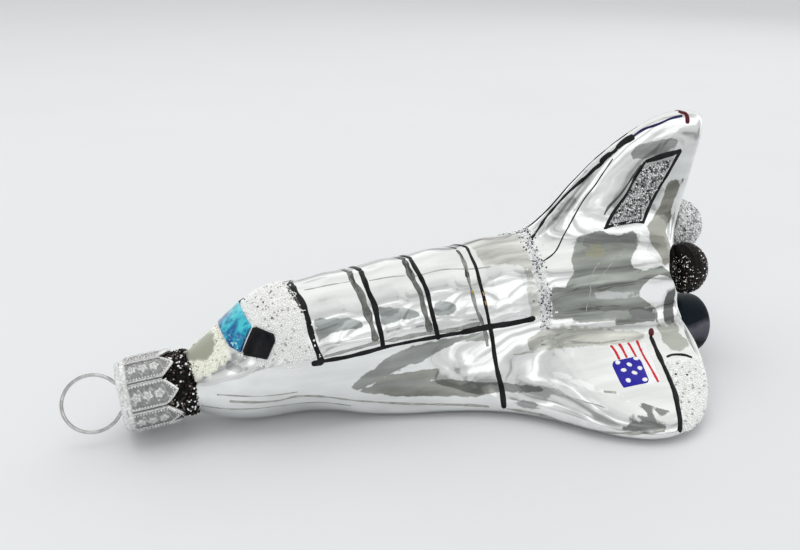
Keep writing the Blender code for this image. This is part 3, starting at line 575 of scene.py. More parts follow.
def drum_sheen_look(low, high):
    """Satin black enamel between two heights, with fine dust and a painted pale sheen about the middle, a painted
    highlight.
    """
    look = Look("satin_black_enamel_painted_sheen", gloss=0.06)
    cloud = look.uneven(260.0, -0.05, 0.05, bump=0.08, distance=0.0002)
    total = look.math("ADD", look.height(low, high), cloud)
    # Colour by height: the pale band about the middle is a painted highlight
    look.feed(look.ramp(total, (
        (0.0, (0.004, 0.005, 0.008)), (0.36, (0.003, 0.004, 0.006)), (0.46, (0.070, 0.070, 0.088)),
        (0.64, (0.115, 0.112, 0.135)), (0.74, (0.005, 0.009, 0.014)), (1.0, (0.006, 0.014, 0.022)))))
    look.rough(1400.0, 0.22, 0.38)
    return look.material


def blue_pane_look():
    """Translucent blue lacquer over the silvering: turquoise above, deep blue below with pale specks."""
    look = Look("blue_lacquer", metallic=0.35, coat=0.35, coat_roughness=0.03)
    height = look.height(at(*WINDSHIELD[0]).z, at(*WINDSHIELD[7]).z)
    total = look.math("ADD", height, look.uneven(640.0, -0.5, 0.5, bump=0.5, distance=0.0003))
    glass = look.ramp(total, ((0.0, (0.001, 0.035, 0.16)), (0.40, (0.003, 0.13, 0.36)), (0.7, (0.006, 0.32, 0.50)),
                              (1.0, (0.06, 0.60, 0.68))))
    specks = look.math("MULTIPLY", look.spread(look.mottle(1900.0), 0.66, 0.84), look.spread(height, 0.55, 0.2))
    look.feed(look.mix(specks, glass, (0.45, 0.92, 0.92)))
    look.rough(700.0, 0.06, 0.2)
    return look.material


def black_pane_look():
    """Thick gloss black enamel."""
    look = Look("gloss_black_enamel", gloss=0.15)
    look.feed(look.uneven(500.0, 0.05, 0.16, bump=0.12, distance=0.0002), "Roughness")
    look.feed(look.mix(look.mottle(300.0), (0.004, 0.004, 0.005), (0.012, 0.012, 0.015)))
    return look.material


def foil_look():
    """Pressed foil: bright on the raised work, dull grey in the hollows and near black in the slits, the darkening
    painted shade.
    """
    look = Look("pressed_foil", metallic=0.6)
    cloud = look.uneven(2300.0, 0.0, 1.0, bump=0.9, distance=0.00011)
    bright = look.mix(cloud, (0.60, 0.60, 0.59), (1.0, 1.0, 0.99))
    # Painted shade: the hollow layer darkens the slits and the ground between the raised work
    look.feed(look.mix(look.attribute("hollow_shade"), bright, (0.03, 0.03, 0.03)))
    look.rough(1800.0, 0.08, 0.20)
    return look.material


def wire_look():
    """Bright drawn wire, with faint die lines and darker rims, a painted dark reflection along its edges."""
    look = Look("drawn_wire", metallic=1.0)
    cloud = look.uneven(900.0, 0.0, 1.0, bump=0.06, distance=0.00005)
    worn = look.mix(cloud, (0.55, 0.55, 0.54), (0.85, 0.85, 0.84))
    # Darker towards the rims as they turn from the view: a painted dark reflection
    rim = look.node("ShaderNodeLayerWeight")
    rim.inputs["Blend"].default_value = 0.5
    look.feed(look.mix(rim.outputs["Facing"], worn, (0.10, 0.10, 0.10)))
    look.rough(1500.0, 0.1, 0.24)
    return look.material


def backdrop_look(s):
    """An even pale wall, lit by itself."""
    look = Look("pale_backdrop", roughness=1.0, color=(0.0, 0.0, 0.0), gloss=0.0, glow=1.0)
    look.feed(look.mix(look.mottle(1.2), dimmed(s.backdrop, 0.99), tuple(s.backdrop)), "Emission Color")
    return look.material


def floor_look(s):
    """Plain pale paper."""
    look = Look("pale_floor", roughness=0.6, gloss=0.2)
    look.feed(look.mix(look.mottle(14.0), dimmed(s.floor, 0.985), tuple(s.floor)))
    return look.material


# ---------------------------------------------------------------- mesh helpers


def add_piece(name, mesh, look, body, replaces=()):
    """A finished piece: shown, with its material, riding on its body."""
    obj = bpy.data.objects.new(name, mesh)
    bpy.context.scene.collection.objects.link(obj)
    if not mesh.materials:
        mesh.materials.append(look)
    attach(obj, body)
    if replaces:
        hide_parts(*replaces)
    return obj


def to_mesh(bm, name, smooth=True):
    mesh = bpy.data.meshes.new(name)
    bmesh.ops.recalc_face_normals(bm, faces=bm.faces)
    bm.to_mesh(mesh)
    bm.free()
    for face in mesh.polygons:
        face.use_smooth = smooth
    return mesh


def baked(obj):
    """The object's mesh with its modifiers worked in; the object is removed."""
    depsgraph = bpy.context.evaluated_depsgraph_get()
    mesh = bpy.data.meshes.new_from_object(obj.evaluated_get(depsgraph), depsgraph=depsgraph)
    mesh.name = obj.name
    bpy.data.objects.remove(obj)
    return mesh


def scratch(name, mesh):
    """An object to work on."""
    obj = bpy.data.objects.new(name, mesh)
    bpy.context.scene.collection.objects.link(obj)
    return obj


def refined(node, levels):
    """A CAD node's mesh, merged back to quads and subdivided."""
    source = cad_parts[node].data
    bm = bmesh.new()
    points = [bm.verts.new(v.co) for v in source.vertices]
    for face in source.polygons:
        bm.faces.new([points[i] for i in face.vertices])
    bmesh.ops.remove_doubles(bm, verts=bm.verts, dist=1e-6)
    bmesh.ops.join_triangles(bm, faces=bm.faces[:], angle_face_threshold=math.radians(60),
                             angle_shape_threshold=math.radians(120))
    obj = scratch(node + "_fine", to_mesh(bm, node + "_fine"))
    if levels:
        finer = obj.modifiers.new("Smooth", "SUBSURF")
        finer.levels = finer.render_levels = levels
    mesh = baked(obj)
    for face in mesh.polygons:
        face.use_smooth = True
    return mesh


# How far outside the glass a patch is cast from
CAST_FROM = 20 * MM


class Skin:
    """The glass's surface, to lay things on."""

    def __init__(self, mesh):
        self.mesh = mesh
        points = [v.co.copy() for v in mesh.vertices]
        self.tree = BVHTree.FromPolygons(points, [tuple(f.vertices) for f in mesh.polygons])

    def near(self, point):
        """The nearest place on the glass, and which way it faces."""
        place, normal, _, _ = self.tree.find_nearest(point)
        return place, normal

    def cast(self, point, way):
        """Where a ray towards way, through the point, first meets the glass."""
        place, normal, _, _ = self.tree.ray_cast(point - way * CAST_FROM, way)
        if place is None:
            raise RuntimeError("a painted patch misses the glass")
        return place, normal


SKIN = {}


def skin():
    """The finished glass, made ready at its first use."""
    if "glass" not in SKIN:
        SKIN["glass"] = Skin(bpy.data.objects["silvered_body"].data)
    return SKIN["glass"]


def smooth_path(points, step):
    """Points every step along a smooth curve through the given points."""
    last = len(points) - 1
    fine = []
    for i in range(last):
        p = [points[clamp(i + k, 0, last)] for k in (-1, 0, 1, 2)]
        for j in range(12):
            t = j / 12
            fine.append(0.5 * (2 * p[1] + (p[2] - p[0]) * t + (2 * p[0] - 5 * p[1] + 4 * p[2] - p[3]) * t * t
                               + (3 * p[1] - p[0] - 3 * p[2] + p[3]) * t ** 3))
    fine.append(points[-1])
    path, left = [fine[0]], step
    for a, b in zip(fine, fine[1:]):
        length = (b - a).length
        while length > left:
            a = a + (b - a) * (left / length)
            path.append(a)
            length = (b - a).length
            left = step
        left -= length
    if (path[-1] - fine[-1]).length > step * 0.3:
        path.append(fine[-1])
    return path


def bridge(bm, loops):
    """Faces between each closed loop and the next."""
    for a, b in zip(loops, loops[1:]):
        for i in range(len(a)):
            j = (i + 1) % len(a)
            bm.faces.new((a[i], a[j], b[j], b[i]))


# Section of a brushed line: across, and up from the glass
BRUSH = ((-1.0, -0.8), (-0.92, 0.45), (-0.6, 0.92), (0.0, 1.0), (0.6, 0.92), (0.92, 0.45), (1.0, -0.8))


def ribbon(bm, path, width, height, seed, color, wobble=0.16, step=0.4):
    """A brushed line on the glass, rounded on top and at its ends, with its colour in the ink layer."""
    layer = bm.verts.layers.float_color["ink"]
    spots = [skin().near(p) for p in smooth_path(path, step * MM)]
    last = len(spots) - 1
    rows = []
    for i, (place, normal) in enumerate(spots):
        ahead = spots[min(i + 1, last)][0] - spots[max(i - 1, 0)][0]
        side = normal.cross(ahead).normalized()
        # Narrower towards the ends; the width and the middle wander along the line
        from_end = min(i, last - i) * step * MM + 0.12 * MM
        tip = math.sqrt(clamp(1 - (1 - clamp(from_end / (width * 0.6))) ** 2))
        uneven = 1 + wobble * 2 * noise.noise(Vector((i * step * 0.55, seed * 7.3, 0.5)))
        shift = side * width * 0.12 * noise.noise(Vector((i * step * 0.3, seed * 3.1, 9.5)))
        row = []
        for across, up in BRUSH:
            p, n = skin().near(place + shift + side * (across * width / 2 * uneven * tip))
            vert = bm.verts.new(p + n * height * up)
            vert[layer] = (*color, 1)
            row.append(vert)
        rows.append(row)
    bridge(bm, rows)
    bm.faces.new(rows[0])
    bm.faces.new(rows[-1])


# Rings of a patch, as shares of its outline, and the paint's height on each
THIN_RINGS = ((1.0, -0.5), (0.975, 0.5), (0.9, 0.95), (0.6, 1.0), (0.3, 1.0))
PANE_RINGS = ((1.0, -0.4), (0.98, 0.6), (0.93, 0.86), (0.84, 0.95), (0.7, 1.0), (0.5, 1.02), (0.25, 1.03))


def blob(bm, outline, height, color, rings=THIN_RINGS, way=None):
    """A closed patch of paint on the glass inside an outline of points, with its colour in the ink layer."""
    layer = bm.verts.layers.float_color["ink"]
    middle = sum(outline, Vector()) / len(outline)

    def vert(p, up):
        place, normal = skin().cast(p, way) if way else skin().near(p)
        made = bm.verts.new(place + normal * height * up)
        made[layer] = (*color, 1)
        return made

    loops = [[vert(middle.lerp(p, share), up) for p in outline] for share, up in rings]
    count = len(outline)
    bridge(bm, loops)
    crown, foot = vert(middle, 1.0), vert(middle, -0.5)
    for i in range(count):
        j = (i + 1) % count
        bm.faces.new((loops[-1][i], loops[-1][j], crown))
        bm.faces.new((loops[0][j], loops[0][i], foot))


def rounded_outline(corners, step, corner):
    """A closed outline through the corners, each one cut by a small curve; sizes in millimetres."""
    step, corner = step * MM, corner * MM
    points = []
    count = len(corners)
    for i, here in enumerate(corners):
        before, after = corners[i - 1], corners[(i + 1) % count]
        a = here + (before - here).normalized() * corner
        b = here + (after - here).normalized() * corner
        for j in range(5):
            t = j / 4
            points.append(a.lerp(here, t).lerp(here.lerp(b, t), t))
    path = []
    for a, b in zip(points, points[1:] + points[:1]):
        pieces = max(1, round((b - a).length / step))
        path += [a.lerp(b, k / pieces) for k in range(pieces)]
    return path


def paint_mesh():
    """An empty mesh for ribbons and blobs, with its layer of colours."""
    bm = bmesh.new()
    bm.verts.layers.float_color.new("ink")
    return bm


# ---------------------------------------------------------------- glass


def root_height(x):
    """Height of the crease between the body and the wing."""
    return 16.1 - 0.184 * (x - 15.3)


def panel_bulge(x, z):
    """How far the doors bulge here: full in the middle between two hoops, nothing below the sill."""
    for a, b in zip(HOOP_X, HOOP_X[1:] + (15.0,)):
        if a < x < b:
            return math.sin(math.pi * (x - a) / (b - a)) ** 2 * ease(14.8, 17.5, z)
    return 0.0


def framed(shapes):
    """The shapes with their bounds, a millimetre wider."""
    made = []
    for kept, soft, outline in shapes:
        us, vs = zip(*outline)
        made.append((kept, soft, outline, (min(us) - 1, max(us) + 1, min(vs) - 1, max(vs) + 1)))
    return made


def deepest(reflection_shapes, u, v):
    """How deep (u, v) is in the nearest shape, less than nothing outside, and what light the shape keeps."""
    best, tone = -1.0, 0.6
    for kept, soft, outline, (left, right, low, high) in reflection_shapes:
        if left < u < right and low < v < high:
            depth = depth_in(outline, u, v)
            if depth * soft > best:
                best, tone = depth * soft, kept
    return best, tone


# Where the nose's and the cabin's lacquers end, and the wings' and the rudder's begin
NOSE_TO_X, CABIN_TO_X, WING_FROM_X, RUDDER_FROM_X = -39.9, -20, 28, 30


def lacquer_at(x, y, z, co):
    """The colour and cover of the lacquer under the glitter, here on the glass."""
    if x < NOSE_TO_X:
        return (0.94, 0.94, 0.83), nose_cover(x, y, z, co) if z > 11 and x > -46.8 else 0.0
    if x < CABIN_TO_X:
        return (0.87, 0.87, 0.86), 0.95 * cockpit_cover(x, y, z, co) if z > 13.4 else 0.0
    if z < 12 and x > WING_FROM_X:
        return (0.90, 0.91, 0.89), 0.95 * wing_cover(x, y, z, co) if abs(y) > 17 and z > 1.5 else 0.0
    if z > 28 and x > RUDDER_FROM_X:
        return (0.30, 0.30, 0.30), 0.9 * rudder_cover(x, y, z, co)
    return (0.82, 0.83, 0.83), 0.85 * waist_cover(x, y, z, co) if 12 < x < 19.5 and z > 14.2 else 0.0


class ORNAMENT_OT_glass(bpy.types.Operator):
    """Builds the silvered glass body"""
    bl_idname = "ornament.glass"
    bl_label = "Glass body"

    def execute(self, context):
        s = context.scene.ornament_glass
        mesh = refined("glass_body", s.levels)
        kinds = {"painted_reflection_edge": "FLOAT", "painted_reflection_detail_edge": "FLOAT", "painted_reflection_tone": "FLOAT_COLOR",
                 "painted_reflection_detail_tone": "FLOAT_COLOR", "bare": "FLOAT", "lacquer": "FLOAT_COLOR"}
        for name, kind in kinds.items():
            mesh.attributes.new(name, kind, "POINT")
        *edges_and_tones, bare, lacquer = (mesh.attributes[name].data for name in kinds)
        edges, tones = edges_and_tones[:2], edges_and_tones[2:]
        # Painted reflections and highlights, from outlines seen from the side, or from above on the wing
        from_side = [framed(shapes) for shapes in (SIDE_PAINTED_REFLECTIONS, SIDE_REFLECTION_DETAILS)]
        from_top = [framed(shapes) for shapes in (TOP_PAINTED_REFLECTIONS, TOP_REFLECTION_DETAILS)]
        moved = []
        for i, v in enumerate(mesh.vertices):
            x, y, z = in_table(v.co)
            wave = noise.noise(v.co / s.wave_size)
            wave += 0.5 * noise.noise(v.co / (0.45 * s.wave_size) + Vector((7, 0, 0)))
            wave *= ease(NECK_TO_X, NECK_TO_X + 3, x)
            moved.append(v.co + v.normal * (wave * s.wave_height + panel_bulge(x, z) * s.panel_rise))
            spot = sum(abs((p - m) / size) ** BARE_ROUNDNESS for p, m, size in zip((x, y), BARE_MIDDLE, BARE_SIZE))
            ragged = 0.35 * noise.noise(v.co / 0.0011)
            bare[i].value = 1 - ease(0.75, 1.15, spot + ragged) if z > 12 and x > NECK_TO_X else 0.0
            on_wing = x > 11 and v.normal.z > 0.3 and abs(y) > 12.5 and z < root_height(x)
            for shapes, edge, tone in zip(from_top if on_wing else from_side, edges, tones):
                edge[i].value, kept = deepest(shapes, x, abs(y) if on_wing else z)
                tone[i].color = (*kept, 1) if isinstance(kept, tuple) else (kept, kept * 1.015, kept, 1)
            color, cover = lacquer_at(x, y, z, v.co)
            lacquer[i].color = (*color, cover)
        for v, place in zip(mesh.vertices, moved):
            v.co = place
        add_piece("silvered_body", mesh, silvered_glass_look(s), "ornament", ("glass_body",))
        return {"FINISHED"}


# ---------------------------------------------------------------- enamel


class ORNAMENT_OT_enamel(bpy.types.Operator):
    """Brushes the black lines on the glass, each with a painted grey reflection of it in the silvering, and thin grey
    lines of painted reflection
    """
    bl_idname = "ornament.enamel"
    bl_label = "Enamel lines"

    def execute(self, context):
        s = context.scene.ornament_enamel
        black, maroon, violet, amber_glint = tuple(s.black), tuple(s.maroon), tuple(s.violet), tuple(s.amber_glint)
        lines, line_reflections = paint_mesh(), paint_mesh()

        def line(points, wide, high, seed, ink=black, wobble=0.16):
            ribbon(lines, points, s.line_width * wide, s.line_height * high, seed, ink, wobble)

        # A painted grey reflection of a line, lying flat on the silvering
        def reflection_of(points, wide, seed, depth):
            ribbon(line_reflections, points, s.line_width * wide, 0.03 * MM, seed, (depth, depth * 1.02, depth * 0.98), 0.35)

        for side in SIDES:
            for i, (hoop, echo) in enumerate(zip(HOOPS, HOOP_REFLECTIONS)):
                line(on_side(hoop, side), (1.25, 1.2, 1.1, 0.78)[i], 1, i + 1)
                reflection_of(on_side(echo, side), (0.6, 1.5, 1.4, 0.9)[i], i + 5, (0.08, 0.14, 0.13, 0.2)[i])
                reflection_of(on_side(echo, side)[:3], (0.5, 1.2, 1.2, 0.9)[i], i + 30, 0.05)
            line(on_side(HOOP_ON_WING, side), 1.1, 1.2, 9)
            sill = on_side(SILL, side)
            line(sill, 0.85, 1, 11)
            line(sill[8:], 1.3, 1.3, 12)
            line(sill[:2], 1.3, 1.3, 10)
            reflection_of(on_side(SILL_REFLECTION, side), 0.9, 13, 0.26)
            line(on_side(FIN_LINE, side), 0.75, 1, 14, wobble=0.3)
            for k, blot in enumerate(FIN_BLOTS):
                line(on_side(blot, side), 1.2, 1.2, 15 + k, wobble=0.3)
            line(on_side(FIN_TIP_LINE, side), 0.6, 1, 18, violet)
            line(on_side(FIN_HOOK, side), 1.0, 1.2, 16, maroon)
            line(on_side(FIN_INNER_LINE, side), 0.32, 0.6, 17)
            for k, edge in enumerate(RUDDER_EDGES):
                line(on_side(edge, side), (0.75, 1.25, 0.8, 0.8)[k], 1, 20 + k)
            reflection_of(on_side(RUDDER_REFLECTION, side), 0.6, 25, 0.1)
            elevon = on_side(ELEVON_LINE, side)
            line(elevon[1:], 1.15, 1.2, 27)
            line(elevon[:2], 1.7, 1.5, 28, maroon)
            # Painted glints: short amber marks on the last hoop
            for k, glint in enumerate(GLINTS):
                line(on_side(glint, side), 0.4, 1.35, 60 + k, amber_glint)
            line(on_side(ELEVON_END, side), 0.7, 1, 29)
            # Thin grey lines of painted reflection
            for k, (across, grey) in enumerate(REFLECTED_GREY_LINES):
                ribbon(line_reflections, on_side(grey, side), across * MM, 0.025 * MM, 50 + k, (0.33, 0.34, 0.32), 0.4)
        look = enamel_look("black_line_enamel", 0.2)
        add_piece("painted_lines", to_mesh(lines, "painted_lines"), look, "ornament")
        add_piece("painted_line_reflections", to_mesh(line_reflections, "painted_line_reflections"), line_reflection_look(), "ornament")
        return {"FINISHED"}


class ORNAMENT_OT_windows(bpy.types.Operator):
    """Paints the blue windshield and the black side windows"""
    bl_idname = "ornament.windows"
    bl_label = "Windows"

    def execute(self, context):
        s = context.scene.ornament_enamel
        pane = paint_mesh()
        blob(pane, rounded_outline([at(*p) for p in WINDSHIELD], 0.35, 0.4), s.pane_rise, (0.02, 0.3, 0.6),
             PANE_RINGS, WINDSHIELD_AIM)
        add_piece("blue_windshield", to_mesh(pane, "blue_windshield"), blue_pane_look(), "ornament",
                  ("windshield_pane",))
        look = black_pane_look()
        for side in SIDES:
            pane = paint_mesh()
            corners = [at(x, side * y, z) for x, y, z in SIDE_WINDOW]
            way = Vector((SIDE_WINDOW_AIM.x, SIDE_WINDOW_AIM.y * side, SIDE_WINDOW_AIM.z))
            blob(pane, rounded_outline(corners, 0.3, 0.12), s.pane_rise * 1.2, (0, 0, 0), PANE_RINGS, way)
            name = "black_window_" + side_name(side)
            add_piece(name, to_mesh(pane, name), look, "ornament", ("side_window_" + side_name(side),))
        return {"FINISHED"}


class ORNAMENT_OT_flag(bpy.types.Operator):
    """Paints the small flag of stripes and dots on both wings"""
    bl_idname = "ornament.flag"
    bl_label = "Wing flags"

    def execute(self, context):
        s = context.scene.ornament_enamel
        paint = paint_mesh()
        red, blue, white = tuple(s.red), tuple(s.blue), tuple(s.white)
        for side in SIDES:
            blob(paint, rounded_outline(on_side(FLAG_FIELD, side), 0.3, 0.35), 0.05 * MM, white)
            for i, stripe in enumerate(FLAG_STRIPES):
                ribbon(paint, on_side(stripe, side), 0.62 * MM, 0.10 * MM, 40 + i, red, step=0.3)
            blob(paint, rounded_outline(on_side(FLAG_CANTON, side), 0.25, 0.25), 0.15 * MM, blue)
            for k, dot in enumerate(FLAG_DOTS):
                middle = on_side((dot,), side)[0]
                ring = []
                for j in range(14):
                    a = 2 * math.pi * j / 14
                    r = DOT_RADIUS * MM * (1 + 0.1 * math.sin(2 * a + k * 1.9))
                    ring.append(middle + Vector((r * math.cos(a), r * 0.9 * math.sin(a), 0)))
                blob(paint, ring, 0.24 * MM, white)
        add_piece("wing_flags", to_mesh(paint, "wing_flags"), enamel_look("flag_enamel", 0.3, coat=0.2),
                  "ornament")
        return {"FINISHED"}


# ---------------------------------------------------------------- glitter


def tree_of(name, inputs):
    """A new Geometry Nodes tree with its named inputs and a material; returns it and its first node."""
    tree = bpy.data.node_groups.new(name, "GeometryNodeTree")
    tree.interface.new_socket("Geometry", in_out="INPUT", socket_type="NodeSocketGeometry")
    for socket, kind, default in inputs:
        tree.interface.new_socket(socket, in_out="INPUT", socket_type=kind).default_value = default
    tree.interface.new_socket("Material", in_out="INPUT", socket_type="NodeSocketMaterial")
    tree.interface.new_socket("Geometry", in_out="OUTPUT", socket_type="NodeSocketGeometry")
    return tree, tree.nodes.new("NodeGroupInput")


def end_tree(tree, start, copies):
    """Ends a tree: its copies are made real and get its material."""
    real, dressed, end = (tree.nodes.new(kind) for kind in (
        "GeometryNodeRealizeInstances", "GeometryNodeSetMaterial", "NodeGroupOutput"))
    link(tree, copies, real.inputs["Geometry"])
    link(tree, real.outputs["Geometry"], dressed.inputs["Geometry"])
    link(tree, start.outputs["Material"], dressed.inputs["Material"])
    link(tree, dressed.outputs["Geometry"], end.inputs["Geometry"])
    return tree


def grain_tree():
    """Scatters rough grains over a bed; the bed's cover attribute says how densely."""
    found = bpy.data.node_groups.get("glitter_grains")
    if found:
        return found
    tree, start = tree_of("glitter_grains", (
        ("Grain radius", "NodeSocketFloat", 0.0002), ("Distance", "NodeSocketFloat", 0.0003),
        ("Density", "NodeSocketFloat", 2e7), ("Seed", "NodeSocketInt", 1)))
    cover, scatter, grain, place, mark, turn, size, tone = (tree.nodes.new(kind) for kind in (
        "GeometryNodeInputNamedAttribute", "GeometryNodeDistributePointsOnFaces", "GeometryNodeMeshIcoSphere",
        "GeometryNodeInstanceOnPoints", "GeometryNodeStoreNamedAttribute", *["FunctionNodeRandomValue"] * 3))
    cover.data_type = mark.data_type = "FLOAT"
    cover.inputs["Name"].default_value = "cover"
    scatter.distribute_method = "POISSON"
    grain.inputs["Subdivisions"].default_value = 1
    turn.data_type = size.data_type = "FLOAT_VECTOR"
    turn.inputs["Max"].default_value = (math.tau, math.tau, math.tau)
    size.inputs["Min"].default_value = (0.55, 0.6, 0.5)
    size.inputs["Max"].default_value = (1.3, 1.15, 1.0)
    size.inputs["Seed"].default_value = 7
    tone.inputs["Seed"].default_value = 23
    mark.domain = "INSTANCE"
    mark.inputs["Name"].default_value = "tone"
    for a, out, b, into in ((start, "Geometry", scatter, "Mesh"), (start, "Distance", scatter, "Distance Min"),
                            (start, "Density", scatter, "Density Max"), (start, "Seed", scatter, "Seed"),
                            (cover, "Attribute", scatter, "Density Factor"),
                            (start, "Grain radius", grain, "Radius"), (scatter, "Points", place, "Points"),
                            (grain, "Mesh", place, "Instance"), (turn, "Value", place, "Rotation"),
                            (size, "Value", place, "Scale"), (place, "Instances", mark, "Geometry")):
        link(tree, a.outputs[out], b.inputs[into])
    link(tree, next(o for o in tone.outputs if o.enabled and o.type == "VALUE"), mark.inputs["Value"])
    return end_tree(tree, start, mark.outputs["Geometry"])


def bead_tree():
    """Beads at even steps along edges."""
    tree, start = tree_of("pressed_beads", (("Bead radius", "NodeSocketFloat", 0.00016),
                                            ("Distance", "NodeSocketFloat", 0.00046)))
    curve, steps, bead, place = (tree.nodes.new(kind) for kind in (
        "GeometryNodeMeshToCurve", "GeometryNodeResampleCurve", "GeometryNodeMeshIcoSphere",
        "GeometryNodeInstanceOnPoints"))
    steps.mode = "LENGTH"
    bead.inputs["Subdivisions"].default_value = 2
    for a, out, b, into in ((start, "Geometry", curve, "Mesh"), (curve, "Curve", steps, "Curve"),
                            (start, "Distance", steps, "Length"), (steps, "Curve", place, "Points"),
                            (start, "Bead radius", bead, "Radius"), (bead, "Mesh", place, "Instance")):
        link(tree, a.outputs[out], b.inputs[into])
    return end_tree(tree, start, place.outputs["Instances"])


# How high a bed lies over the glass, and points tried for in a square of a grain's radius
BED_LIFT = 0.08 * MM
GRAIN_DENSITY = 6.0


def run_tree(obj, tree, values):
    """Gives the object the tree with its named inputs, and returns the plain mesh."""
    modifier = obj.modifiers.new("Made", "NODES")
    modifier.node_group = tree
    sockets = {item.name: item.identifier for item in tree.interface.items_tree if item.in_out == "INPUT"}
    for name, value in values.items():
        modifier[sockets[name]] = value
    return baked(obj)


def scatter_grains(name, bed, radius, look, seed, replaces=()):
    """Grains over a bed mesh, as a piece of its own."""
    s = bpy.context.scene.ornament_glitter
    mesh = run_tree(scratch(name, bed), grain_tree(), {
        "Grain radius": radius, "Distance": radius * s.spacing, "Density": GRAIN_DENSITY / (radius * radius),
        "Seed": s.seed + seed, "Material": look})
    if not mesh.polygons:
        raise RuntimeError(f"{name}: the scattering made no grains")
    return add_piece(name, mesh, look, "ornament", replaces)


def set_cover(mesh, values):
    """How densely the grains lie at each point of a bed."""
    data = mesh.attributes.new("cover", "FLOAT", "POINT").data
    for item, value in zip(data, values):
        item.value = value


def glass_bed(name, cover, box):
    """The glass's faces where cover(x, y, z, place) is above nothing, inside a box of the tables."""
    source = skin().mesh
    low, high = box
    values = {}
    for v in source.vertices:
        x, y, z = in_table(v.co)
        if low[0] < x < high[0] and low[1] < y < high[1] and low[2] < z < high[2]:
            value = cover(x, y, z, v.co)
            if value > 0:
                values[v.index] = clamp(value)
    faces = [f for f in source.polygons if all(i in values for i in f.vertices)]
    used = sorted({i for f in faces for i in f.vertices})
    order = {old: new for new, old in enumerate(used)}
    mesh = bpy.data.meshes.new(name)
    mesh.from_pydata([source.vertices[i].co + source.vertices[i].normal * BED_LIFT for i in used], [],
                     [[order[i] for i in f.vertices] for f in faces])
    set_cover(mesh, (values[i] for i in used))
    return mesh


def inside(polygon, u, v):
    """Whether (u, v) is inside a polygon of (u, v) corners."""
    hit = False
    for (ax, ay), (bx, by) in zip(polygon, (*polygon[1:], polygon[0])):
        if (ay > v) != (by > v) and u < (bx - ax) * (v - ay) / (by - ay) + ax:
            hit = not hit
    return hit


def edge_distance(polygon, u, v):
    """Distance from (u, v) to a polygon's edge."""
    best = 1e9
    for (ax, ay), (bx, by) in zip(polygon, (*polygon[1:], polygon[0])):
        dx, dy = bx - ax, by - ay
        t = clamp(((u - ax) * dx + (v - ay) * dy) / (dx * dx + dy * dy))
        best = min(best, math.hypot(u - ax - t * dx, v - ay - t * dy))
    return best


def depth_in(polygon, u, v):
    """How far (u, v) is inside a polygon, and less than nothing outside."""
    depth = edge_distance(polygon, u, v)
    return depth if inside(polygon, u, v) else -depth


def line_at(table, width):
    """The x of a line of the tables, so far from the middle plane."""
    rows = sorted((abs(y), x) for x, y, _ in table)
    for (a, fa), (b, fb) in zip(rows, rows[1:]):
        if a <= width <= b:
            return fa + (fb - fa) * (width - a) / (b - a)
    return rows[0][1] if width < rows[0][0] else rows[-1][1]


SIDE_WINDOW_XZ = [(x, z) for x, _, z in SIDE_WINDOW]
WINDSHIELD_XZ = [(-38.3, 16.5), (-40.6, 17.4), (-41.0, 18.5), (-36.6, 21.6), (-36.0, 20.2)]
RUDDER_XZ = [(x, z) for x, _, z in RUDDER]


def cockpit_cover(x, y, z, co):
    """From the windshield's slanted foot to the first hoop, down to a wavy edge, but for the windows."""
    ragged = noise.noise(co / 0.0016)
    front = -38.9 + (z - 16.5) * 0.42
    back = line_at(HOOPS[0], abs(y)) - 0.5
    floor = 15.0 + 0.5 * math.sin(x * 1.3)
    depth = min(x - front, back - x, (z - floor) * 1.2) + 0.8 * ragged
    if abs(y) > 5.2 and inside(SIDE_WINDOW_XZ, x, z):
        return 0.0
    if abs(y) < 6.7 and inside(WINDSHIELD_XZ, x, z):
        return 0.0
    stray = 0.05 if depth > -1.6 else 0.0
    return max(ease(-0.2, 0.9, depth), stray)


def nose_cover(x, y, z, co):
    """Fine white paint with glitter, below the bare spot on both sides of the nose."""
    return ease(-0.35, 0.25, depth_in(CREAM, x, abs(y)) + 0.55 * noise.noise(co / 0.0011))


def waist_cover(x, y, z, co):
    """A ring with strays beside it."""
    ragged = noise.noise(co / 0.0012)
    off = abs(x - line_at(WAIST, abs(y)))
    return max(ease(0.0, 0.45, 1.3 - off + 0.45 * ragged), 0.03 if off < 2.6 else 0.0) * ease(14.2, 15.0, z)


def rudder_cover(x, y, z, co):
    """The panel within the rudder's edges."""
    if not inside(RUDDER_XZ, x, z):
        return 0.0
    return ease(0.0, 0.3, edge_distance(RUDDER_XZ, x, z) - 0.1)


def wing_cover(x, y, z, co):
    """Behind the elevons' line, on the outer wing."""
    line = line_at(ELEVON_LINE, abs(y))
    ragged = noise.noise(co / 0.0016)
    return ease(0.0, 0.6, min(x - line - 0.3, abs(y) - 20.9) + 0.25 * ragged)


# Tones of the grains: the share of grains up to where each begins, and its colour
WHITE_TONES = ((0.0, (0.03, 0.025, 0.02)), (0.011, (0.42, 0.42, 0.40)), (0.07, (0.90, 0.90, 0.88)),
               (0.5, (0.97, 0.97, 0.96)))
SILVER_TONES = ((0.0, (0.006, 0.006, 0.006)), (0.22, (0.20, 0.20, 0.21)), (0.40, (0.72, 0.72, 0.73)),
                (0.56, (1.0, 1.0, 1.0)))
CREAM_TONES = ((0.0, (0.45, 0.43, 0.30)), (0.10, (0.90, 0.90, 0.78)), (0.5, (1.0, 1.0, 0.94)))
# The last share of the black grains is pure white: painted glints on the black glitter
BLACK_TONES = ((0.0, (0.002, 0.001, 0.001)), (0.46, (0.010, 0.008, 0.007)), (0.64, (0.06, 0.046, 0.042)),
               (0.77, (0.30, 0.25, 0.23)), (0.865, (1.0, 1.0, 1.0)))
BRIGHT_TONES = ((0.0, (0.015, 0.015, 0.015)), (0.13, (0.24, 0.24, 0.25)), (0.30, (0.78, 0.78, 0.79)),
                (0.46, (1.0, 1.0, 1.0)))


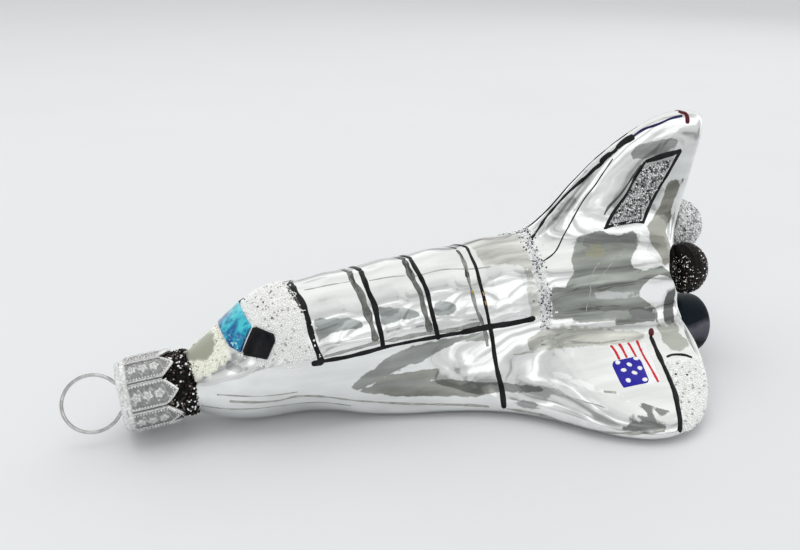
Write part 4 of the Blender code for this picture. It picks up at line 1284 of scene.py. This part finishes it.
def black_grain_look():
    """Black grains of the collar and the bulbs."""
    found = bpy.data.materials.get("black_grains")
    return found or grain_look("black_grains", BLACK_TONES, 0.0, 0.25, gloss=0.12, dusty=0.0)


def bright_grain_look():
    """Silver-white grains of the dome and the waist band."""
    found = bpy.data.materials.get("bright_grains")
    return found or grain_look("bright_grains", BRIGHT_TONES, 0.35, 0.15)


def dress(node, look):
    """Gives a CAD node that stays its finished material."""
    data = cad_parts[node].data
    data.materials.clear()
    data.materials.append(look)


class ORNAMENT_OT_glitter(bpy.types.Operator):
    """Scatters the coats of glitter on the glass"""
    bl_idname = "ornament.glitter"
    bl_label = "Glitter coats"

    def execute(self, context):
        s = context.scene.ornament_glitter
        white = grain_look("white_grains", WHITE_TONES, 0.0, 0.12, coat=0.5)
        silver = grain_look("silver_grains", SILVER_TONES, 0.65, 0.12)
        cream = grain_look("cream_grains", CREAM_TONES, 0.0, 0.25, coat=0.3)
        scatter_grains("cockpit_grains", glass_bed("cockpit_bed", cockpit_cover, ((-40, -12, 13.4), (-25, 12, 30))),
                       s.white_grain, white, 1, ("cockpit_glitter",))
        scatter_grains("nose_grains", glass_bed("nose_bed", nose_cover, ((-47, -12, 11), (-39.3, 12, 18.6))),
                       s.white_grain * 0.75, cream, 2)
        scatter_grains("waist_grains", glass_bed("waist_bed", waist_cover, ((12, -14, 14.2), (19.5, 14, 30))),
                       s.silver_grain * 0.95, bright_grain_look(), 3, ("waist_glitter_band",))
        for side in SIDES:
            name = side_name(side)
            low, high = (-36, -0.2) if side < 0 else (0.2, 36)
            bed = glass_bed("rudder_bed", rudder_cover, ((30, low, 28), (50, high, 42)))
            scatter_grains("rudder_grains_" + name, bed, s.silver_grain, silver, 4 + side,
                           ("rudder_glitter_" + name,))
            bed = glass_bed("wing_bed", wing_cover, ((28, low, 1.5), (45, high, 10)))
            scatter_grains("wing_grains_" + name, bed, s.white_grain * 1.1, white, 7 + side,
                           ("wing_glitter_" + name,))
        return {"FINISHED"}


# Rings of the collar's bed: how far along the neck, and radius; the last ones lie on the body
COLLAR = ((5.6, 5.1), (6.4, 5.25), (7.2, 5.3), (8.0, 5.35), (8.8, 5.45), (9.6, 5.58), (10.2, 5.6), (10.7, 5.55),
          (11.2, 5.7), (11.8, 5.9))
COLLAR_ON_BODY = 10.8


def neck_frame():
    """The neck's own frame: origin in the middle of its end, +X towards the tail along the neck."""
    return Matrix.Translation(at(NECK_END_X, 0, NECK_Z)) @ Matrix.Rotation(-NECK_DROOP, 4, "Y")


class ORNAMENT_OT_collar(bpy.types.Operator):
    """Scatters the collar of black glitter round the neck"""
    bl_idname = "ornament.collar"
    bl_label = "Neck collar"

    def execute(self, context):
        s = context.scene.ornament_glitter
        place = neck_frame()
        steps = 72
        verts, faces, cover = [], [], []
        for along, radius in COLLAR:
            for i in range(steps):
                a = 2 * math.pi * i / steps
                p = place @ (Vector((along, radius * math.cos(a), radius * math.sin(a))) * MM)
                if along > COLLAR_ON_BODY:
                    p = skin().near(p)[0]
                verts.append(p)
                ragged = 0.55 * noise.noise(p / 0.0021)
                cover.append(ease(0.0, 0.35, 11.0 + ragged - along))
        for r in range(len(COLLAR) - 1):
            for i in range(steps):
                j = (i + 1) % steps
                faces.append((r * steps + i, (r + 1) * steps + i, (r + 1) * steps + j, r * steps + j))
        mesh = bpy.data.meshes.new("collar_bed")
        mesh.from_pydata(verts, [], faces)
        set_cover(mesh, cover)
        scatter_grains("collar_grains", mesh, s.black_grain, black_grain_look(), 11)
        dress("neck_glitter", lacquer_look("black_lacquer", (0.006, 0.005, 0.005), (0.02, 0.018, 0.018), 0.35))
        return {"FINISHED"}


# ---------------------------------------------------------------- engines


def node_bed(node, levels):
    """A CAD node's surface as a bed for grains, full all over."""
    mesh = refined(node, levels)
    set_cover(mesh, [1.0] * len(mesh.vertices))
    return mesh


class ORNAMENT_OT_engines(bpy.types.Operator):
    """Finishes the black drums, the glitter bulbs and the glitter dome"""
    bl_idname = "ornament.engines"
    bl_label = "Engines"

    def execute(self, context):
        s = context.scene.ornament_glitter
        heights = [v.co.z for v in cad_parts["engine_bell_port"].data.vertices]
        drum = drum_sheen_look(min(heights), max(heights))
        black = lacquer_look("black_bulb_lacquer", (0.006, 0.005, 0.005), (0.016, 0.013, 0.012), 0.35)
        silver = lacquer_look("silver_dome_lacquer", (0.20, 0.20, 0.20), (0.80, 0.80, 0.80), 0.4)
        for side in SIDES:
            name = side_name(side)
            add_piece("drum_" + name, refined("engine_bell_" + name, 2), drum, "ornament",
                      ("engine_bell_" + name,))
            scatter_grains("bulb_grains_" + name, node_bed("pod_nozzle_" + name, 1), s.black_grain * 0.85,
                           black_grain_look(), 15 + side)
            dress("pod_nozzle_" + name, black)
        scatter_grains("dome_grains", node_bed("engine_dome_top", 1), s.silver_grain * 1.25, bright_grain_look(),
                       19)
        dress("engine_dome_top", silver)
        return {"FINISHED"}


# ---------------------------------------------------------------- cap and hanger


def petal_length(v):
    """How far a petal reaches at v, from -1 to 1 across it."""
    return CAP_LENGTH - PETAL_POINT * abs(v) ** 1.15


# Places of the pressed flowers along a petal, and how far a flower reaches
FLOWERS = (2.7, 4.5, 6.3)
FLOWER_REACH = 1.25
# How far the wall stands out between the petals' edges, and how much of the relief is raised
PETAL_BULGE = 0.16
RELIEF = 0.8


def on_cap(place, along, a, r):
    """A point of the cap: along the neck from the cap's end, round it by a, out by r."""
    return place @ (Vector((CAP_END + along, r * math.cos(a), r * math.sin(a))) * MM)


def petal_relief(along, v, arc):
    """Height of the pressed work, and how much painted shade it gets in the slits and hollows, at a place on the
    cap's wall.
    """
    if along < 1.4:
        return 0.0, 0.0
    fade = ease(1.4, 2.0, along)
    side = (1 - abs(v)) * arc
    tip = (petal_length(v) - along) * 0.9
    edge = min(side, tip)
    slit = 1 - ease(0.08, 0.30, side)
    rim = math.exp(-((edge - 0.36) / 0.12) ** 2) * 0.7
    work = 0.0
    for place in FLOWERS:
        du, dv = along - place, v * arc
        r = math.hypot(du, dv)
        if r < FLOWER_REACH:
            a = math.atan2(dv, du)
            leaf = 0.78 + 0.22 * math.cos(5 * a + place)
            work = max(work, math.exp(-((r - 0.62 * leaf) / 0.2) ** 2), 0.9 * math.exp(-(r / 0.2) ** 2))
    if edge > 0.75:
        vine = abs(v * arc - 1.15 * math.sin(along * 3.4))
        work = max(work, 0.6 * math.exp(-(vine / 0.14) ** 2))
    height = fade * (rim + work * (1 if edge > 0.6 else 0.2) - 1.9 * slit)
    # Painted shade: near black in the slits, greyer on the ground between the raised work
    hollow_shade = fade * clamp(max(slit, 0.66 * (1 - max(rim, work) * 1.3) * ease(0.3, 0.6, edge)))
    return height, hollow_shade


class ORNAMENT_OT_cap(bpy.types.Operator):
    """Builds the pressed crown cap with its petals, flowers and beads"""
    bl_idname = "ornament.cap"
    bl_label = "Crown cap"

    def execute(self, context):
        s = context.scene.ornament_cap
        place = neck_frame()
        across = 28     # points over a petal
        steps = PETALS * across
        bm = bmesh.new()
        hollow_shade_layer = bm.verts.layers.float.new("hollow_shade")
        arc = CAP_RADIUS * math.pi / PETALS

        def radius_at(along):
            if along >= CAP_SHOULDER:
                return CAP_RADIUS
            drop = CAP_SHOULDER - along
            return CAP_RADIUS - CAP_SHOULDER + math.sqrt(max(CAP_SHOULDER ** 2 - drop ** 2, 0))

        def ring(share, radius_of, relief):
            loop = []
            for i in range(steps):
                v = (i % across) / across * 2 - 1
                a = 2 * math.pi * i / steps
                along = share * (petal_length(v) if share > 0.12 else CAP_LENGTH)
                r, hollow_shade = radius_of(along), 0.0
                if relief:
                    height, hollow_shade = petal_relief(along, v, arc)
                    r += height * s.emboss / MM * RELIEF + PETAL_BULGE * (1 - v * v) * ease(1.5, 3.5, along) - 0.12
                vert = bm.verts.new(on_cap(place, along, a, r))
                vert[hollow_shade_layer] = hollow_shade
                loop.append(vert)
            return loop

        # Close rings over the shoulder, then even ones to the petals' points
        shares = [0.0, 0.012, 0.03, 0.055, 0.08, 0.106] + [0.13 + 0.87 * k / 66 for k in range(67)]
        outer = [ring(q, radius_at, True) for q in shares]
        inner_wall = CAP_RADIUS - CAP_SHEET
        inner = [ring(q, lambda _: inner_wall, False) for q in (1.0, 0.7, 0.4, 0.15)]
        inner.append(ring(CAP_SHEET / CAP_LENGTH, lambda _: radius_at(0.3) - 0.3, False))
        middle = on_cap(place, 0, 0, 0)
        disc = [[bm.verts.new(middle.lerp(vert.co, share)) for vert in outer[0]] for share in (0.86, 0.6, 0.3)]
        loops = disc[::-1] + outer + inner
        bridge(bm, loops)
        bm.faces.new(loops[0])
        bm.faces.new(loops[-1])
        look = foil_look()
        obj = scratch("cap_press", to_mesh(bm, "cap_press"))
        obj.data.materials.append(look)
        cutters = []
        for side in SIDES:
            cut = bmesh.new()
            radius = HOLE_RADIUS * MM
            bmesh.ops.create_cone(cut, cap_ends=True, segments=20, radius1=radius, radius2=radius, depth=3 * MM)
            turn = place @ Matrix.Rotation(HANGER_TWIST, 4, "X")
            turn = turn @ Matrix.Translation(Vector((CAP_END, 0, side * LEG_SPACING / 2)) * MM)
            cut.transform(turn @ Matrix.Rotation(math.pi / 2, 4, "Y"))
            cutter = scratch("wire_hole_cutter", to_mesh(cut, "wire_hole_cutter"))
            cutters.append(cutter)
            hole = obj.modifiers.new("Wire hole", "BOOLEAN")
            hole.operation = "DIFFERENCE"
            hole.object = cutter
        mesh = baked(obj)
        for cutter in cutters:
            bpy.data.objects.remove(cutter)
        add_piece("pressed_cap", mesh, look, "cap", ("cap_crown",))
        self.add_beads(s, place, look)
        return {"FINISHED"}

    def add_beads(self, s, place, look):
        """Beads along the edges of every petal."""
        arc = CAP_RADIUS * math.pi / PETALS
        edge = 1 - 0.62 / arc
        corner = petal_length(edge) - 0.5
        verts, lines = [], []
        for petal in range(PETALS):
            middle = (petal + 0.5) * 2 * math.pi / PETALS
            outline = [(1.9, -edge), (corner, -edge), (CAP_LENGTH - 0.75, 0), (corner, edge), (1.9, edge)]
            first = len(verts)
            for along, v in outline:
                a = middle + v * math.pi / PETALS
                verts.append(on_cap(place, along, a, CAP_RADIUS + 0.02 + PETAL_BULGE * (1 - v * v)))
            lines += [(first + k, first + k + 1) for k in range(len(outline) - 1)]
        mesh = bpy.data.meshes.new("bead_paths")
        mesh.from_pydata(verts, lines, [])
        beads = run_tree(scratch("cap_beads", mesh), bead_tree(),
                         {"Bead radius": s.bead, "Distance": s.bead_gap, "Material": look})
        for face in beads.polygons:
            face.use_smooth = True
        add_piece("cap_beads", beads, look, "cap")


class ORNAMENT_OT_hanger(bpy.types.Operator):
    """Finishes the wire loop"""
    bl_idname = "ornament.hanger"
    bl_label = "Wire hanger"

    def execute(self, context):
        add_piece("hanger_wire", refined("hanger_loop", 1), wire_look(), "hanger", ("hanger_loop",))
        return {"FINISHED"}


# ---------------------------------------------------------------- stage


FLOOR_SIZE = 3.0
BACKDROP_RADIUS = 2.6
LAMPS = (
    # name, place, size, power
    ("top_lamp", (-0.15, 0.10, 0.75), 0.80, 1.9),
    ("front_lamp", (-0.60, -0.55, 0.45), 0.50, 0.8),
    ("rear_lamp", (0.55, 0.40, 0.50), 0.50, 0.8),
)
LAMPS_AIM = Vector((0, 0, 0.01))
# Brightness of the studio's clouds, by the noise's value
SKY_TONES = ((0.37, 0.45), (0.42, 0.80), (0.53, 0.98), (0.60, 1.50))
# Colour of the open side, and how far round from its middle it begins and is full, as cosines
OPEN_COLOR = (1.22, 1.23, 1.22)
OPEN_FROM, OPEN_FULL = 0.62, 0.9


def shown(name, bm, look):
    """A part of the stage."""
    obj = scratch(name, to_mesh(bm, name))
    obj.data.materials.append(look)
    return obj


def studio(open_side, surround):
    """A world of soft clouds, bright and plain to one side."""
    world = bpy.data.worlds.new("studio")
    world.use_nodes = True
    sky = world.node_tree
    direction, clouds, tones, toward, clear, mixed = (sky.nodes.new("ShaderNode" + kind) for kind in (
        "TexCoord", "TexNoise", "ValToRGB", "VectorMath", "MapRange", "Mix"))
    mixed.data_type = "RGBA"
    toward.operation = "DOT_PRODUCT"
    background = sky.nodes["Background"]
    set_stops(tones.color_ramp, [(place, (value * 0.985, value, value * 1.005)) for place, value in SKY_TONES])
    around = direction.outputs["Generated"]
    for value, socket in ((around, clouds.inputs["Vector"]), (1.7, clouds.inputs["Scale"]),
                          (3, clouds.inputs["Detail"]), (1.4, clouds.inputs["Distortion"]),
                          (clouds.outputs["Fac"], tones.inputs["Fac"]), (around, toward.inputs[0]),
                          (open_side, toward.inputs[1]), (toward.outputs["Value"], clear.inputs["Value"]),
                          (OPEN_FROM, clear.inputs["From Min"]), (OPEN_FULL, clear.inputs["From Max"]),
                          (clear.outputs["Result"], mixed.inputs["Factor"]),
                          (tones.outputs["Color"], mixed.inputs[6]), (OPEN_COLOR, mixed.inputs[7]),
                          (mixed.outputs[2], background.inputs["Color"]), (surround, background.inputs["Strength"])):
        put(sky, value, socket)
    return world


class ORNAMENT_OT_stage(bpy.types.Operator):
    """Sets up the pale floor, the soft studio light and the camera"""
    bl_idname = "ornament.stage"
    bl_label = "Stage"

    def execute(self, context):
        s = context.scene.ornament_stage
        scene = context.scene
        floor = bmesh.new()
        bmesh.ops.create_grid(floor, x_segments=8, y_segments=8, size=FLOOR_SIZE)
        shown("floor", floor, floor_look(s))
        shell = bmesh.new()
        bmesh.ops.create_uvsphere(shell, u_segments=48, v_segments=24, radius=BACKDROP_RADIUS)
        backdrop = shown("backdrop", shell, backdrop_look(s))
        # Seen by the camera alone: the glass mirrors the studio's sky behind it
        for kind in ("diffuse", "glossy", "transmission", "volume_scatter", "shadow"):
            setattr(backdrop, "visible_" + kind, False)
        for name, place, size, power in LAMPS:
            data = bpy.data.lights.new(name, "AREA")
            data.shape = "DISK"
            data.size = size
            data.energy = power
            lamp = bpy.data.objects.new(name, data)
            lamp.location = place
            lamp.rotation_euler = (LAMPS_AIM - lamp.location).to_track_quat("-Z", "Y").to_euler()
            lamp.visible_glossy = False
            scene.collection.objects.link(lamp)
        scene.world = studio(s.open_side, s.surround)
        camera = bpy.data.cameras.new("photo_view")
        camera.lens = s.lens
        camera.sensor_width = 36
        camera.clip_start = 0.005
        viewer = bpy.data.objects.new("photo_view", camera)
        viewer.location = s.camera
        viewer.rotation_euler = s.turn
        scene.collection.objects.link(viewer)
        scene.camera = viewer
        scene.view_settings.view_transform = "Standard"
        return {"FINISHED"}


# ---------------------------------------------------------------- panel and running


OPERATORS = (ORNAMENT_OT_stage, ORNAMENT_OT_glass, ORNAMENT_OT_enamel, ORNAMENT_OT_windows, ORNAMENT_OT_flag,
             ORNAMENT_OT_glitter, ORNAMENT_OT_collar, ORNAMENT_OT_engines, ORNAMENT_OT_cap, ORNAMENT_OT_hanger)


class ORNAMENT_PT_panel(bpy.types.Panel):
    """Lists the ornament's pieces and their settings"""
    bl_idname = "ORNAMENT_PT_panel"
    bl_label = "Shuttle ornament"
    bl_space_type = "VIEW_3D"
    bl_region_type = "UI"
    bl_category = "Ornament"

    def draw(self, context):
        for operator in OPERATORS:
            self.layout.operator(operator.bl_idname)
        for name, kind in SETTINGS.items():
            box = self.layout.box()
            for setting in kind.__annotations__:
                box.prop(getattr(context.scene, name), setting)


CLASSES = (*SETTINGS.values(), *OPERATORS, ORNAMENT_PT_panel)


def register():
    for kind in CLASSES:
        bpy.utils.register_class(kind)
    for name, kind in SETTINGS.items():
        setattr(bpy.types.Scene, name, PointerProperty(type=kind))


def unregister():
    for name in SETTINGS:
        delattr(bpy.types.Scene, name)
    for kind in reversed(CLASSES):
        bpy.utils.unregister_class(kind)


def main():
    register()
    for operator in OPERATORS:
        group, name = operator.bl_idname.split(".")
        getattr(getattr(bpy.ops, group), name)()


if __name__ == "__main__":
    main()
